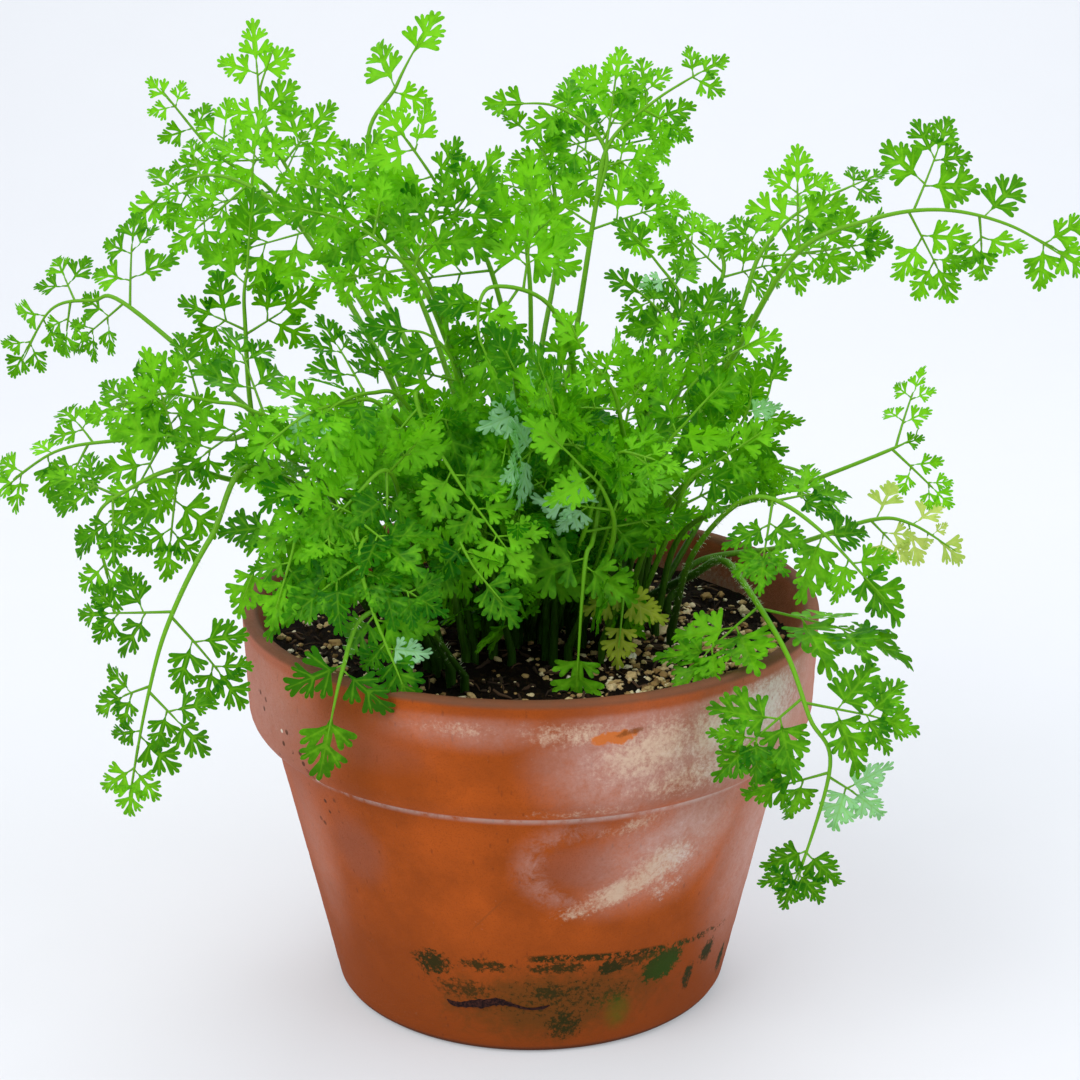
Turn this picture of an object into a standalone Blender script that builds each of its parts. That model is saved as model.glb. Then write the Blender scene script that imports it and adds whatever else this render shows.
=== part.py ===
"""Chervil in a terracotta pot: the pot, its soil, and one solid for each frond of the plant.

Metres, +Z up. The origin is on the pot's axis, in the plane that the pot stands on.
Each frond is a stalk with pairs of pinnae along it and a leaflet at its tip. A pinna is a thin
blade whose outline is cut to the rib between its leaflets. All of a frond is fused into one solid.
"""
import math
import random
from dataclasses import dataclass

import bmesh
import bpy
from mathutils import Matrix, Vector, noise
from mathutils.bvhtree import BVHTree

MM = 0.001
GAP = 0.0003

# Pot, a thrown six inch azalea pot with a collar
POT_HEIGHT = 0.109
RIM_RADIUS = 0.078
LIP_WIDTH = 0.0042
LIP_ROUND = 0.0006
COLLAR_LOW_RADIUS = 0.0768
COLLAR_LOW_HEIGHT = 0.0826
NECK_RADIUS = 0.0708
NECK_HEIGHT = 0.0754
FOOT_RADIUS = 0.0536
FOOT_ROUND = 0.0014
WALL = 0.0055
FLOOR = 0.008
DRAIN_RADIUS = 0.0105
POT_SIDES = 48

# Soil, level a little below the lip
SOIL_HEIGHT = 0.097
SOIL_RELIEF = 0.0013
SOIL_LUMP = 0.009
SOIL_SIDES = 30
SOIL_RINGS = 5

# Stalks, four sided, and the holes that they stand in
STALK_RADIUS = 0.00115
STALK_TIP_RADIUS = 0.0006
ROOTED = 0.012
HOLE_CLEARANCE = 0.0006
HOLE_SIDES = 6
COLLAR_RISE = 0.004
STALK_STEPS = 2

# Blades
BLADE_THICKNESS = 0.0007
RIB = 0.00065
ROOT_SUNK = 0.0025
LONG_STEP = 0.014
NODE_RATIO = 0.58
PINNA_RATIO = 0.62
PINNA_ANGLE = 63.0
PINNA_ROOM = 1.6
DROOP = 10.0
TIP_LEAFLET = 0.27
TIP_LEAFLET_RANGE = (0.0075, 0.0145)
LONG_PINNA = 0.0265
MIDDLE_PINNA = 0.0195

# Turns tried, in degrees about the rachis and about the pinna, until a pinna is clear of all else
TURNS = ((0, 0), (14, 0), (-14, 0), (0, 18), (0, -18), (28, 0), (-28, 0), (20, 20), (-20, -20),
         (42, 0), (-42, 0), (35, 25), (-35, -25), (56, 0), (-56, 0))
LENGTHS = (1.0, 0.8, 0.62, 0.45)

# Half outlines of a pinna, in parts of its length: along the rib, and out from it
LONG_HALF = ((0.24, None), (0.28, 0.25), (0.46, 0.29), (0.50, None),
             (0.66, 0.24), (0.70, None), (0.85, 0.13))
MIDDLE_HALF = ((0.24, None), (0.32, 0.26), (0.56, 0.29), (0.60, None), (0.78, 0.17))
SHORT_HALF = ((0.28, None), (0.46, 0.31), (0.68, 0.12))

LEAF_GREEN = (0.078, 0.29, 0.018)
PALE_GREEN = (0.42, 0.50, 0.10)
YELLOW_GREEN = (0.22, 0.33, 0.04)
TERRACOTTA = (0.50, 0.155, 0.062)
SOIL_COLOUR = (0.018, 0.012, 0.008)


@dataclass
class Frond:
    """One frond, in millimetres.

    foot is where the stalk leaves the soil, and route is what it passes from there to its tip.
    leafy is the length of the part with pinnae, span the length of the first pinnae, pairs how
    many pairs there are, and face the way that the upper side looks.
    """
    name: str
    foot: tuple
    route: tuple
    leafy: float
    span: float
    pairs: int
    face: tuple
    shrink: float = PINNA_RATIO
    colour: tuple = LEAF_GREEN


FRONDS = (
    Frond("frond_left_hanging", (-34, -24),
          ((-66, -50, 160), (-78, -64, 147), (-88, -72, 128), (-93, -78, 111), (-98, -82, 87)),
          46, 33, 3, (-2, -9, 3)),
    Frond("frond_left_low", (-30, -12),
          ((-62, -28, 151), (-75, -38, 154), (-87, -44, 159), (-99, -52, 156), (-107, -56, 149),
           (-103, -60, 132)),
          44, 30, 3, (-3, -9, 4)),
    Frond("frond_left_reach", (-36, 0),
          ((-65, -8, 153), (-80, -8, 156), (-96, -9, 156), (-110, -10, 156), (-125, -10, 153),
           (-139, -10, 143)),
          47, 32, 3, (-1, -7, 7)),
    Frond("frond_left_crown", (-28, -19),
          ((-58, -36, 161), (-70, -40, 173), (-79, -40, 175), (-92, -40, 177), (-106, -38, 172)),
          41, 30, 3, (0, -8, 6)),
    Frond("frond_left_diagonal", (-20, 13),
          ((-55, 14, 138), (-71, 22, 150), (-111, 40, 180), (-122, 44, 181), (-134, 46, 178),
           (-143, 46, 163)),
          42, 28, 3, (0, -9, 3)),
    Frond("frond_left_upright", (-16, 6),
          ((-55, 10, 128), (-73, 10, 148), (-76, 10, 185), (-75, 12, 198), (-74, 14, 211)),
          32, 23, 2, (0, -9, 3)),
    Frond("frond_back_left_high", (-8, 25),
          ((-28, 40, 153), (-41, 52, 179), (-55, 58, 199), (-68, 62, 214), (-76, 66, 232), (-72, 68, 247)),
          56, 34, 3, (0, -9, 4)),
    Frond("frond_back_left_far", (-17, 25),
          ((-37, 40, 154), (-57, 59, 186), (-74, 70, 207), (-90, 74, 217), (-105, 76, 235)),
          44, 28, 3, (0, -9, 4)),
    Frond("frond_back_left_side", (-24, 18),
          ((-36, 28, 162), (-58, 46, 196), (-78, 54, 211), (-94, 58, 213), (-111, 60, 202)),
          37, 26, 3, (0, -8, 6)),
    Frond("frond_tall_thin", (-4, 32),
          ((-26, 52, 165), (-46, 70, 216), (-38, 76, 236), (-31, 80, 249)),
          17, 12, 1, (0, -9, 4)),
    Frond("frond_centre_left", (-6, 0),
          ((-3, -6, 161), (-10, -12, 202), (-19, -16, 215), (-24, -20, 227), (-32, -26, 240)),
          47, 34, 3, (-2, -8, 6)),
    Frond("frond_centre_left_side", (-12, -5),
          ((-16, -10, 162), (-25, -18, 198), (-34, -22, 213), (-45, -26, 223), (-56, -30, 228)),
          37, 27, 3, (-2, -8, 5)),
    Frond("frond_middle_sprig", (0, 8),
          ((0, 8, 157), (0, 10, 189), (-1, 12, 203), (-1, 12, 212), (0, 12, 222)),
          19, 12, 2, (0, -9, 3)),
    Frond("frond_back_tall", (6, 30),
          ((8, 52, 144), (12, 60, 163), (18, 70, 200), (22, 76, 223), (24, 80, 238)),
          44, 35, 2, (0, -9, 4), 0.95),
    Frond("frond_back_tall_left", (2, 41),
          ((2, 54, 155), (7, 68, 187), (5, 78, 213), (-7, 84, 227)),
          30, 24, 2, (0, -9, 4)),
    Frond("frond_right_arch", (18, 22),
          ((44, 30, 148), (56, 26, 171), (71, 18, 200), (90, 14, 210), (108, 12, 213), (126, 12, 209),
           (142, 12, 200)),
          77, 33, 3, (0, -10, 1), 0.85),
    Frond("frond_right_back_inner", (14, 30),
          ((39, 53, 145), (50, 62, 172), (55, 68, 187), (45, 74, 197), (31, 78, 206)),
          37, 27, 3, (0, -6, 8)),
    Frond("frond_right_back_outer", (22, 28),
          ((50, 47, 150), (60, 55, 178), (65, 60, 191), (76, 68, 201), (97, 74, 210)),
          41, 24, 3, (0, -6, 8)),
    Frond("frond_right_back_dark", (10, 22),
          ((30, 30, 148), (38, 40, 171), (42, 44, 181), (35, 48, 191), (27, 50, 200)),
          32, 25, 2, (0, -7, 7)),
    Frond("frond_right_middle", (24, 8),
          ((30, 8, 128), (37, 6, 154), (42, 4, 166), (50, 4, 174), (62, 4, 181)),
          34, 25, 3, (2, -8, 6)),
    Frond("frond_right_middle_low", (29, 3),
          ((35, 2, 130), (50, -6, 152), (58, -8, 161), (62, -10, 169), (63, -10, 178)),
          29, 23, 2, (1, -8, 5)),
    Frond("frond_right_fine", (34, 3),
          ((42, 2, 128), (70, -6, 142), (97, -13, 156), (101, -15, 161)),
          10, 28, 1, (0, -9, 4)),
    Frond("frond_right_pale", (38, 19),
          ((47, 22, 112), (72, 26, 115), (95, 28, 122), (106, 28, 121), (119, 28, 113)),
          26, 16, 3, (0, -8, 5), PINNA_RATIO, PALE_GREEN),
    Frond("frond_right_front_high", (38, -4),
          ((42, -20, 127), (52, -32, 145), (61, -38, 149), (73, -46, 143), (89, -52, 127)),
          38, 25, 3, (2, -8, 6)),
    Frond("frond_right_hook", (31, 20),
          ((44, 7, 113), (51, -7, 122), (56, -24, 121), (64, -58, 115), (69, -72, 103), (74, -76, 92),
           (67, -76, 61)),
          86, 37, 3, (1, -9, 3), 0.75),
    Frond("frond_front_leaf", (12, -6),
          ((18, -20, 143), (16, -30, 135), (14, -34, 130), (12, -40, 101)),
          30, 14, 1, (0, -9, 3)),
    Frond("frond_front_yellow", (19, -14),
          ((24, -22, 119), (24, -27, 116), (23, -31, 106)),
          14, 10, 1, (0, -8, 4), PINNA_RATIO, YELLOW_GREEN),
    Frond("frond_rim_sprig", (-17, -38),
          ((-29, -60, 126), (-41, -65, 127), (-46, -69, 115), (-50, -72, 98)),
          18, 13, 1, (0, -9, 2)),
    Frond("frond_front_left_big", (-21, -31),
          ((-37, -43, 142), (-43, -52, 146), (-40, -57, 135), (-33, -59, 118)),
          34, 27, 2, (0, -9, 4)),
    Frond("frond_centre_drop", (-10, -13),
          ((-16, -14, 141), (-28, -28, 173), (-27, -33, 168), (-18, -40, 154), (-5, -46, 137)),
          43, 25, 3, (0, -9, 4)),
    Frond("frond_centre_arch", (-15, -17),
          ((-24, -18, 151), (-33, -23, 171), (-40, -28, 174), (-48, -38, 174), (-56, -46, 169)),
          34, 25, 3, (0, -7, 7)),
    Frond("frond_front_left_inner", (-23, -23),
          ((-32, -33, 143), (-36, -40, 157), (-44, -47, 152), (-57, -54, 138)),
          33, 24, 3, (0, -8, 5)),
    Frond("frond_front_left_outer", (-27, -27),
          ((-43, -36, 144), (-55, -46, 154), (-62, -53, 151), (-66, -57, 142), (-71, -60, 130)),
          32, 25, 2, (-1, -8, 5)),
    Frond("frond_front_centre", (-5, -21),
          ((-12, -28, 134), (-17, -35, 141), (-18, -42, 140), (-14, -48, 134), (-7, -51, 126)),
          29, 22, 2, (0, -9, 4)),
    Frond("frond_centre_arch_high", (3, -4),
          ((12, -6, 161), (6, -14, 192), (-10, -22, 200), (-13, -28, 190), (-8, -32, 179)),
          34, 26, 2, (0, -9, 4)),
    Frond("frond_centre_leaf_left", (-4, -9),
          ((-11, -14, 152), (-18, -21, 174), (-21, -25, 184), (-27, -29, 190), (-36, -33, 191)),
          30, 24, 2, (0, -8, 5)),
    Frond("frond_centre_glossy", (4, -15),
          ((4, -24, 150), (1, -30, 165), (-1, -34, 175), (-6, -36, 187)),
          30, 22, 2, (0, -5, 9)),
    Frond("frond_centre_right_high", (14, -3),
          ((27, -14, 147), (24, -20, 161), (21, -24, 174), (14, -28, 184), (10, -30, 193)),
          30, 24, 2, (0, -8, 5)),
    Frond("frond_centre_right_side", (23, -8),
          ((32, -20, 138), (34, -28, 158), (40, -32, 168), (48, -34, 178)),
          32, 25, 2, (1, -8, 5)),
    Frond("frond_centre_right_low", (10, -17),
          ((21, -30, 134), (19, -38, 150), (12, -43, 160), (4, -46, 169)),
          32, 25, 2, (0, -8, 5)),
    Frond("frond_rear_left", (-24, 30),
          ((-46, 52, 136), (-56, 64, 142), (-68, 75, 136), (-80, 83, 118)),
          43, 26, 2, (-3, 6, 8)),
    Frond("frond_rear_centre", (-7, 43),
          ((-9, 60, 142), (-10, 68, 146), (-12, 78, 140), (-14, 86, 122)),
          38, 26, 2, (0, 6, 8)),
    Frond("frond_rear_right", (26, 34),
          ((40, 54, 138), (46, 64, 142), (54, 76, 134), (60, 84, 114)),
          40, 26, 2, (3, 6, 8)),
    Frond("frond_rear_side", (36, 27),
          ((54, 40, 128), (64, 46, 132), (78, 54, 128), (90, 60, 114)),
          36, 22, 2, (6, 3, 8)),
)


def clear_scene():
    for scene_object in list(bpy.data.objects):
        bpy.data.objects.remove(scene_object, do_unlink=True)


def make_collection(name):
    collection = bpy.data.collections.new(name)
    bpy.context.scene.collection.children.link(collection)
    return collection


def make_material(name, colour, roughness):
    material = bpy.data.materials.new(name)
    material.use_nodes = True
    shader = material.node_tree.nodes["Principled BSDF"]
    shader.inputs["Base Color"].default_value = (*colour, 1.0)
    shader.inputs["Roughness"].default_value = roughness
    shader.inputs["Metallic"].default_value = 0.0
    return material


def turned_object(name, profile, sides, closed, collection):
    """A turned solid, from a profile in the XZ plane that runs down its outer side."""
    mesh = bpy.data.meshes.new(name)
    edges = [(i, i + 1) for i in range(len(profile) - 1)]
    if closed:
        edges.append((len(profile) - 1, 0))
    mesh.from_pydata([(radius, 0.0, height) for radius, height in profile], edges, [])
    turned = bpy.data.objects.new(name, mesh)
    collection.objects.link(turned)
    screw = turned.modifiers.new("Turn", "SCREW")
    screw.axis = "Z"
    screw.angle = math.tau
    screw.steps = sides
    screw.render_steps = sides
    screw.use_merge_vertices = True
    screw.merge_threshold = 0.00001
    return turned


def inner_radius(height):
    """Radius of the pot's inner wall at a height."""
    low = FOOT_RADIUS - WALL
    top = RIM_RADIUS - LIP_WIDTH
    return low + (top - low) * (height - FLOOR) / (POT_HEIGHT - FLOOR)


def pot_profile():
    collar_edge = []
    for step in range(5):
        angle = math.radians(22.5 * step)
        collar_edge.append((NECK_RADIUS + (COLLAR_LOW_RADIUS - NECK_RADIUS) * math.cos(angle),
                            COLLAR_LOW_HEIGHT - (COLLAR_LOW_HEIGHT - NECK_HEIGHT) * math.sin(angle)))
    return ([(inner_radius(POT_HEIGHT) + LIP_ROUND, POT_HEIGHT),
             (RIM_RADIUS - LIP_ROUND, POT_HEIGHT),
             (RIM_RADIUS, POT_HEIGHT - LIP_ROUND)]
            + collar_edge
            + [(FOOT_RADIUS, FOOT_ROUND),
               (FOOT_RADIUS - FOOT_ROUND, 0.0),
               (DRAIN_RADIUS, 0.0),
               (DRAIN_RADIUS, FLOOR),
               (inner_radius(FLOOR) - 2 * FOOT_ROUND, FLOOR),
               (inner_radius(FLOOR + 2 * FOOT_ROUND), FLOOR + 2 * FOOT_ROUND),
               (inner_radius(POT_HEIGHT - LIP_ROUND), POT_HEIGHT - LIP_ROUND)])


def make_pot(collection):
    pot = turned_object("pot", pot_profile(), POT_SIDES, True, collection)
    pot.data.materials.append(make_material("terracotta", TERRACOTTA, 0.85))
    return pot


def soil_surface(x, y):
    """Height of the lumpy top of the soil. It sinks to plain level at the wall."""
    edge = inner_radius(SOIL_HEIGHT)
    inside = 1.0 - min(1.0, math.hypot(x, y) / edge) ** 6
    lumps = noise.noise(Vector((x, y, 0.0)) / SOIL_LUMP) + noise.noise(Vector((x, y, 1.0)) / (2 * SOIL_LUMP))
    return SOIL_HEIGHT + SOIL_RELIEF * inside * lumps


def make_soil(parts, cutters):
    """The soil fills the pot. Each stalk has a plain hole of its own in it."""
    bottom = FLOOR + GAP
    corner = bottom + 2 * FOOT_ROUND
    top_radius = inner_radius(SOIL_HEIGHT) - GAP
    top = [(top_radius * ring / SOIL_RINGS, SOIL_HEIGHT) for ring in range(SOIL_RINGS + 1)]
    side = [(inner_radius(corner) - GAP, corner), (inner_radius(bottom) - 2 * FOOT_ROUND - GAP, bottom)]
    body = turned_object("soil_body", top + side + [(0.0, bottom)], SOIL_SIDES, False, cutters)
    bpy.context.view_layer.update()
    mesh = evaluated_mesh(body, "soil")
    bpy.data.objects.remove(body, do_unlink=True)
    for vertex in mesh.vertices:
        if vertex.co.z > SOIL_HEIGHT - MM:
            vertex.co.z = soil_surface(vertex.co.x, vertex.co.y)
    soil = bpy.data.objects.new("soil", mesh)
    parts.objects.link(soil)
    soil.data.materials.append(make_material("potting_soil", SOIL_COLOUR, 0.95))
    holes = bpy.data.collections.new("holes")
    cutters.children.link(holes)
    for frond in FRONDS:
        holes.objects.link(hole_cutter(frond))
    cut = soil.modifiers.new("Holes", "BOOLEAN")
    cut.operation = "DIFFERENCE"
    cut.operand_type = "COLLECTION"
    cut.collection = holes
    bpy.context.view_layer.update()
    soil.data = evaluated_mesh(soil, "soil")
    soil.modifiers.clear()
    return soil


def hole_cutter(frond):
    mesh = bpy.data.meshes.new(frond.name + "_hole")
    shape = bmesh.new()
    depth = ROOTED + GAP
    reach = depth + 2 * COLLAR_RISE
    radius = STALK_RADIUS + HOLE_CLEARANCE
    bmesh.ops.create_cone(shape, cap_ends=True, segments=HOLE_SIDES,
                          radius1=radius, radius2=radius, depth=reach)
    shape.to_mesh(mesh)
    shape.free()
    cutter = bpy.data.objects.new(frond.name + "_hole", mesh)
    cutter.location = (frond.foot[0] * MM, frond.foot[1] * MM, SOIL_HEIGHT - depth + reach / 2)
    cutter.hide_render = True
    cutter.display_type = "WIRE"
    return cutter


def through(points, steps):
    """Points on a smooth curve through the given points, with some steps between each two."""
    ends = [2 * points[0] - points[1]] + points + [2 * points[-1] - points[-2]]
    smooth = []
    for before, start, stop, after in zip(ends, ends[1:], ends[2:], ends[3:]):
        for step in range(steps):
            t = step / steps
            smooth.append(0.5 * (2 * start + (stop - before) * t
                                 + (2 * before - 5 * start + 4 * stop - after) * t * t
                                 + (3 * start - before - 3 * stop + after) * t ** 3))
    smooth.append(points[-1])
    return smooth


def along(path, distance):
    """Point and direction on a polyline, at a distance from its start."""
    for start, stop in zip(path, path[1:]):
        length = (stop - start).length
        if distance <= length:
            return start.lerp(stop, distance / length), (stop - start).normalized()
        distance -= length
    return path[-1].copy(), (path[-1] - path[-2]).normalized()


def path_length(path):
    return sum((stop - start).length for start, stop in zip(path, path[1:]))


def route(frond):
    """The curve of a frond's stalk and rachis, from its root in the soil to its tip."""
    x, y = frond.foot[0] * MM, frond.foot[1] * MM
    root = Vector((x, y, SOIL_HEIGHT - ROOTED))
    passed = [Vector((x, y, SOIL_HEIGHT + COLLAR_RISE))] + [Vector(point) * MM for point in frond.route]
    return [root] + through(passed, STALK_STEPS)


def cut_path(path, distance):
    """The first part of a path, up to a distance."""
    kept = [path[0]]
    gone = 0.0
    for start, stop in zip(path, path[1:]):
        length = (stop - start).length
        if gone + length >= distance:
            break
        gone += length
        kept.append(stop)
    kept.append(along(path, distance)[0])
    return kept


def slab(outline, ups, spare):
    """Corners and faces of a blade on an outline, thicker by some spare on each side."""
    half = BLADE_THICKNESS / 2 + spare
    count = len(outline)
    corners = [place + up * z for z in (-half, half) for place, up in zip(outline, ups)]
    faces = [tuple(range(count)), tuple(range(count, 2 * count))]
    faces += [(i, (i + 1) % count, (i + 1) % count + count, i + count) for i in range(count)]
    return corners, faces


@dataclass
class Pinna:
    """A pinna in a frond's blade: how far along the rachis it roots, its side, angle, length and turn."""
    root: float
    side: int
    angle: float
    length: float
    twist: float
    swing: float = 0.0
    roll: float = 0.0

    def half(self):
        if self.length >= LONG_PINNA:
            return LONG_HALF
        if self.length >= MIDDLE_PINNA:
            return MIDDLE_HALF
        return SHORT_HALF

    def outline(self):
        """Corners from the rachis round the tip and back, along the pinna and to its lower side."""
        lower = [(u * self.length, RIB if v is None else v * self.length) for u, v in self.half()]
        return lower + [(self.length, 0.0)] + [(u, -v) for u, v in reversed(lower)]

    def flat(self, corner):
        """A corner of the outline in the plane of the pressed frond, out from the rachis."""
        u, v = corner
        return (self.root + u * math.cos(self.angle) - v * math.sin(self.angle),
                u * math.sin(self.angle) + v * math.cos(self.angle))

    def axes(self, frame):
        """Root, direction, lower side and upper face of the turned pinna."""
        place, tangent, up = frame(self.root)
        up = Matrix.Rotation(self.side * (self.swing - math.radians(DROOP)), 3, tangent) @ up
        out = up.cross(tangent) * self.side
        direction = math.cos(self.angle) * tangent + math.sin(self.angle) * out
        turn = Matrix.Rotation(self.twist + self.roll, 3, direction)
        lower = turn @ (math.cos(self.angle) * out - math.sin(self.angle) * tangent)
        return place, direction, lower, turn @ up

    def polygons(self, frame, spare, whole=True):
        """Corners and faces of the pinna as a slab, thicker by some spare, or only of its leafy part."""
        place, direction, lower, up = self.axes(frame)
        outline = self.outline()
        if whole:
            outline = [(0.0, RIB)] + outline + [(0.0, -RIB)]
        return slab([place + direction * u + lower * v for u, v in outline], [up] * len(outline), spare)


class FrondBlade:
    """The leafy part of a frond: one thin blade that arches along the rachis."""

    def __init__(self, frond, path):
        self.frond = frond
        self.path = path
        self.start = path_length(path) - frond.leafy * MM
        self.length = frond.leafy * MM
        low, high = TIP_LEAFLET_RANGE
        self.tip = min(high, max(low, TIP_LEAFLET * self.length))
        self.face = Vector(frond.face).normalized()
        self.pinnae = []

    def frame(self, distance):
        """Place, direction and upper face of the rachis, at a distance from the first pinnae."""
        place, tangent = along(self.path, self.start + distance)
        up = (self.face - tangent * self.face.dot(tangent)).normalized()
        return place, tangent, up

    def wanted(self):
        """Pinnae in pairs from the lowest up, each as a list of turns and lengths to try."""
        draw = random.Random(self.frond.name)
        for pair in range(self.frond.pairs):
            root = self.length * (1.0 - NODE_RATIO ** pair)
            room = max(self.length * NODE_RATIO ** pair * (1.0 - NODE_RATIO) * PINNA_ROOM, self.tip)
            if self.frond.pairs == 1:
                room = self.frond.span * MM
            for side in (1, -1):
                angle = math.radians(PINNA_ANGLE + draw.uniform(-4, 4))
                length = min(room, self.frond.span * MM * self.frond.shrink ** pair)
                length *= draw.uniform(0.9, 1.04)
                twist = math.radians(draw.uniform(-10, 10))
                swing = math.radians(draw.uniform(-14, 14))
                yield [Pinna(root + side * RIB, side, angle, length * scale, twist,
                             swing + math.radians(turn), math.radians(roll))
                       for scale in LENGTHS for turn, roll in TURNS]

    def settle(self, others):
        """Keep, for each pinna, the first try that touches nothing else and nothing of its own frond."""
        spine = [spine_polygons(self.path), self.tip_slab()]
        ribs, leaves = [], [self.tip_slab()]
        for tries in self.wanted():
            for pinna in tries:
                whole = pinna.polygons(self.frame, GAP)
                leafy = pinna.polygons(self.frame, GAP, False)
                folded = (tree_of([leafy]).overlap(tree_of(spine + ribs))
                          or tree_of([whole]).overlap(tree_of(leaves)))
                if not folded and not tree_of([whole]).overlap(others):
                    self.pinnae.append(pinna)
                    ribs.append(whole)
                    leaves.append(leafy)
                    break

    def polygons(self):
        return [pinna.polygons(self.frame, 0.0) for pinna in self.pinnae]

    def tip_half(self):
        """Corners on one side of the leaflet at the tip, along the rachis and out from it."""
        base = self.length - self.tip
        return [(base + u * self.tip, RIB if v is None else v * self.tip) for u, v in SHORT_HALF]

    def tip_slab(self):
        half = self.tip_half()
        outline, ups = [], []
        for u, v in half + [(self.length, 0.0)] + [(u, -v) for u, v in reversed(half)]:
            place, tangent, up = self.frame(u)
            outline.append(place + up.cross(tangent) * v)
            ups.append(up)
        return slab(outline, ups, 0.0)

    def half_outline(self, side):
        """Corners on one side of the pressed frond, each with the pinna that it belongs to or None."""
        corners = [(-ROOT_SUNK, RIB, None)]
        for pinna in [pinna for pinna in self.pinnae if pinna.side == side]:
            lean = RIB / math.sin(pinna.angle)
            slide = RIB / math.tan(pinna.angle)
            if pinna.root - corners[-1][0] > LONG_STEP:
                corners.append(((pinna.root + corners[-1][0]) / 2, RIB, None))
            corners.append((pinna.root + slide - lean, RIB, None))
            corners += [(*corner, pinna) for corner in pinna.outline()]
            corners.append((pinna.root + slide + lean, RIB, None))
        return corners + [(*corner, None) for corner in self.tip_half()]

    def surface(self):
        """The pressed frond in triangles, then bent to the rachis and turned pinna by pinna."""
        right = [(corner, 1) for corner in self.half_outline(1)]
        left = [(corner, -1) for corner in self.half_outline(-1)]
        outline = right + [((self.length, 0.0, None), 1)] + left[::-1]
        shape = bmesh.new()
        homes = []
        for (u, v, pinna), side in outline:
            x, y = (u, v) if pinna is None else pinna.flat((u, v))
            shape.verts.new((x, -side * y, 0.0))
            if pinna is None:
                place, tangent, up = self.frame(u)
                homes.append(place + up.cross(tangent) * side * v)
            else:
                place, direction, lower, _ = pinna.axes(self.frame)
                homes.append(place + direction * u + lower * v)
        shape.faces.new(shape.verts)
        shape.normal_update()
        bmesh.ops.triangulate(shape, faces=shape.faces)
        shape.verts.ensure_lookup_table()
        for vertex, home in zip(shape.verts, homes):
            vertex.co = home
        return shape

    def make(self, collection):
        """The blade as an object, with its thickness."""
        name = self.frond.name + "_blade"
        mesh = bpy.data.meshes.new(name)
        shape = self.surface()
        shape.to_mesh(mesh)
        shape.free()
        blade = bpy.data.objects.new(name, mesh)
        collection.objects.link(blade)
        thicken = blade.modifiers.new("Thickness", "SOLIDIFY")
        thicken.thickness = BLADE_THICKNESS
        thicken.offset = 0.0
        return blade


def stalk_object(frond, path, collection):
    """The bare stalk: a four sided tube, from the root to the first pinnae."""
    stem = cut_path(path, path_length(path) - frond.leafy * MM)
    curve = bpy.data.curves.new(frond.name + "_stalk", "CURVE")
    curve.dimensions = "3D"
    curve.bevel_depth = 1.0
    curve.bevel_resolution = 0
    curve.use_fill_caps = True
    spline = curve.splines.new("POLY")
    spline.points.add(len(stem) - 1)
    whole = path_length(stem)
    for i, point in enumerate(stem):
        done = path_length(stem[:i + 1]) / whole
        spline.points[i].co = (*point, 1.0)
        spline.points[i].radius = STALK_RADIUS + (STALK_TIP_RADIUS - STALK_RADIUS) * done
    tube = bpy.data.objects.new(frond.name + "_stalk", curve)
    collection.objects.link(tube)
    return tube


def evaluated_mesh(source, name):
    """The evaluated mesh of an object, with the loose caps of a curve welded on."""
    graph = bpy.context.evaluated_depsgraph_get()
    mesh = bpy.data.meshes.new_from_object(source.evaluated_get(graph))
    mesh.name = name
    shape = bmesh.new()
    shape.from_mesh(mesh)
    bmesh.ops.remove_doubles(shape, verts=shape.verts, dist=0.000001)
    bmesh.ops.recalc_face_normals(shape, faces=shape.faces)
    shape.to_mesh(mesh)
    shape.free()
    return mesh


def as_mesh_object(source, collection):
    """Replace a curve object with the mesh that it makes."""
    name = source.name
    mesh = evaluated_mesh(source, name)
    bpy.data.objects.remove(source, do_unlink=True)
    solid = bpy.data.objects.new(name, mesh)
    collection.objects.link(solid)
    return solid


def polygons_of(mesh):
    return [vertex.co.copy() for vertex in mesh.vertices], [tuple(face.vertices) for face in mesh.polygons]


def tree_of(shapes):
    """One search tree for a list of shapes, each with its corners and faces."""
    corners, faces = [], []
    for shape_corners, shape_faces in shapes:
        base = len(corners)
        corners.extend(shape_corners)
        faces.extend(tuple(base + i for i in face) for face in shape_faces)
    return BVHTree.FromPolygons(corners, faces)


def spine_polygons(path):
    """A square tube round a whole route, a little wider than its stalk and rachis."""
    half = STALK_RADIUS + GAP
    corners, faces = [], []
    for i, place in enumerate(path):
        tangent = (path[min(i + 1, len(path) - 1)] - path[max(i - 1, 0)]).normalized()
        side = tangent.orthogonal().normalized()
        other = tangent.cross(side)
        corners += [place + side * half, place + other * half, place - side * half, place - other * half]
    for i in range(0, len(corners) - 4, 4):
        faces += [(i + k, i + (k + 1) % 4, i + (k + 1) % 4 + 4, i + k + 4) for k in range(4)]
    return corners, faces


def settle_blades(paths, fixed):
    """Choose every frond's pinnae so that none touches another frond, the pot or the soil."""
    blades = {frond.name: FrondBlade(frond, paths[frond.name]) for frond in FRONDS}
    bare = {name: [spine_polygons(paths[name]), blade.tip_slab()] for name, blade in blades.items()}
    placed = []
    for name, blade in blades.items():
        others = [shape for other in bare if other != name for shape in bare[other]]
        blade.settle(tree_of(fixed + others + placed))
        placed += blade.polygons()
    return blades


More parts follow.
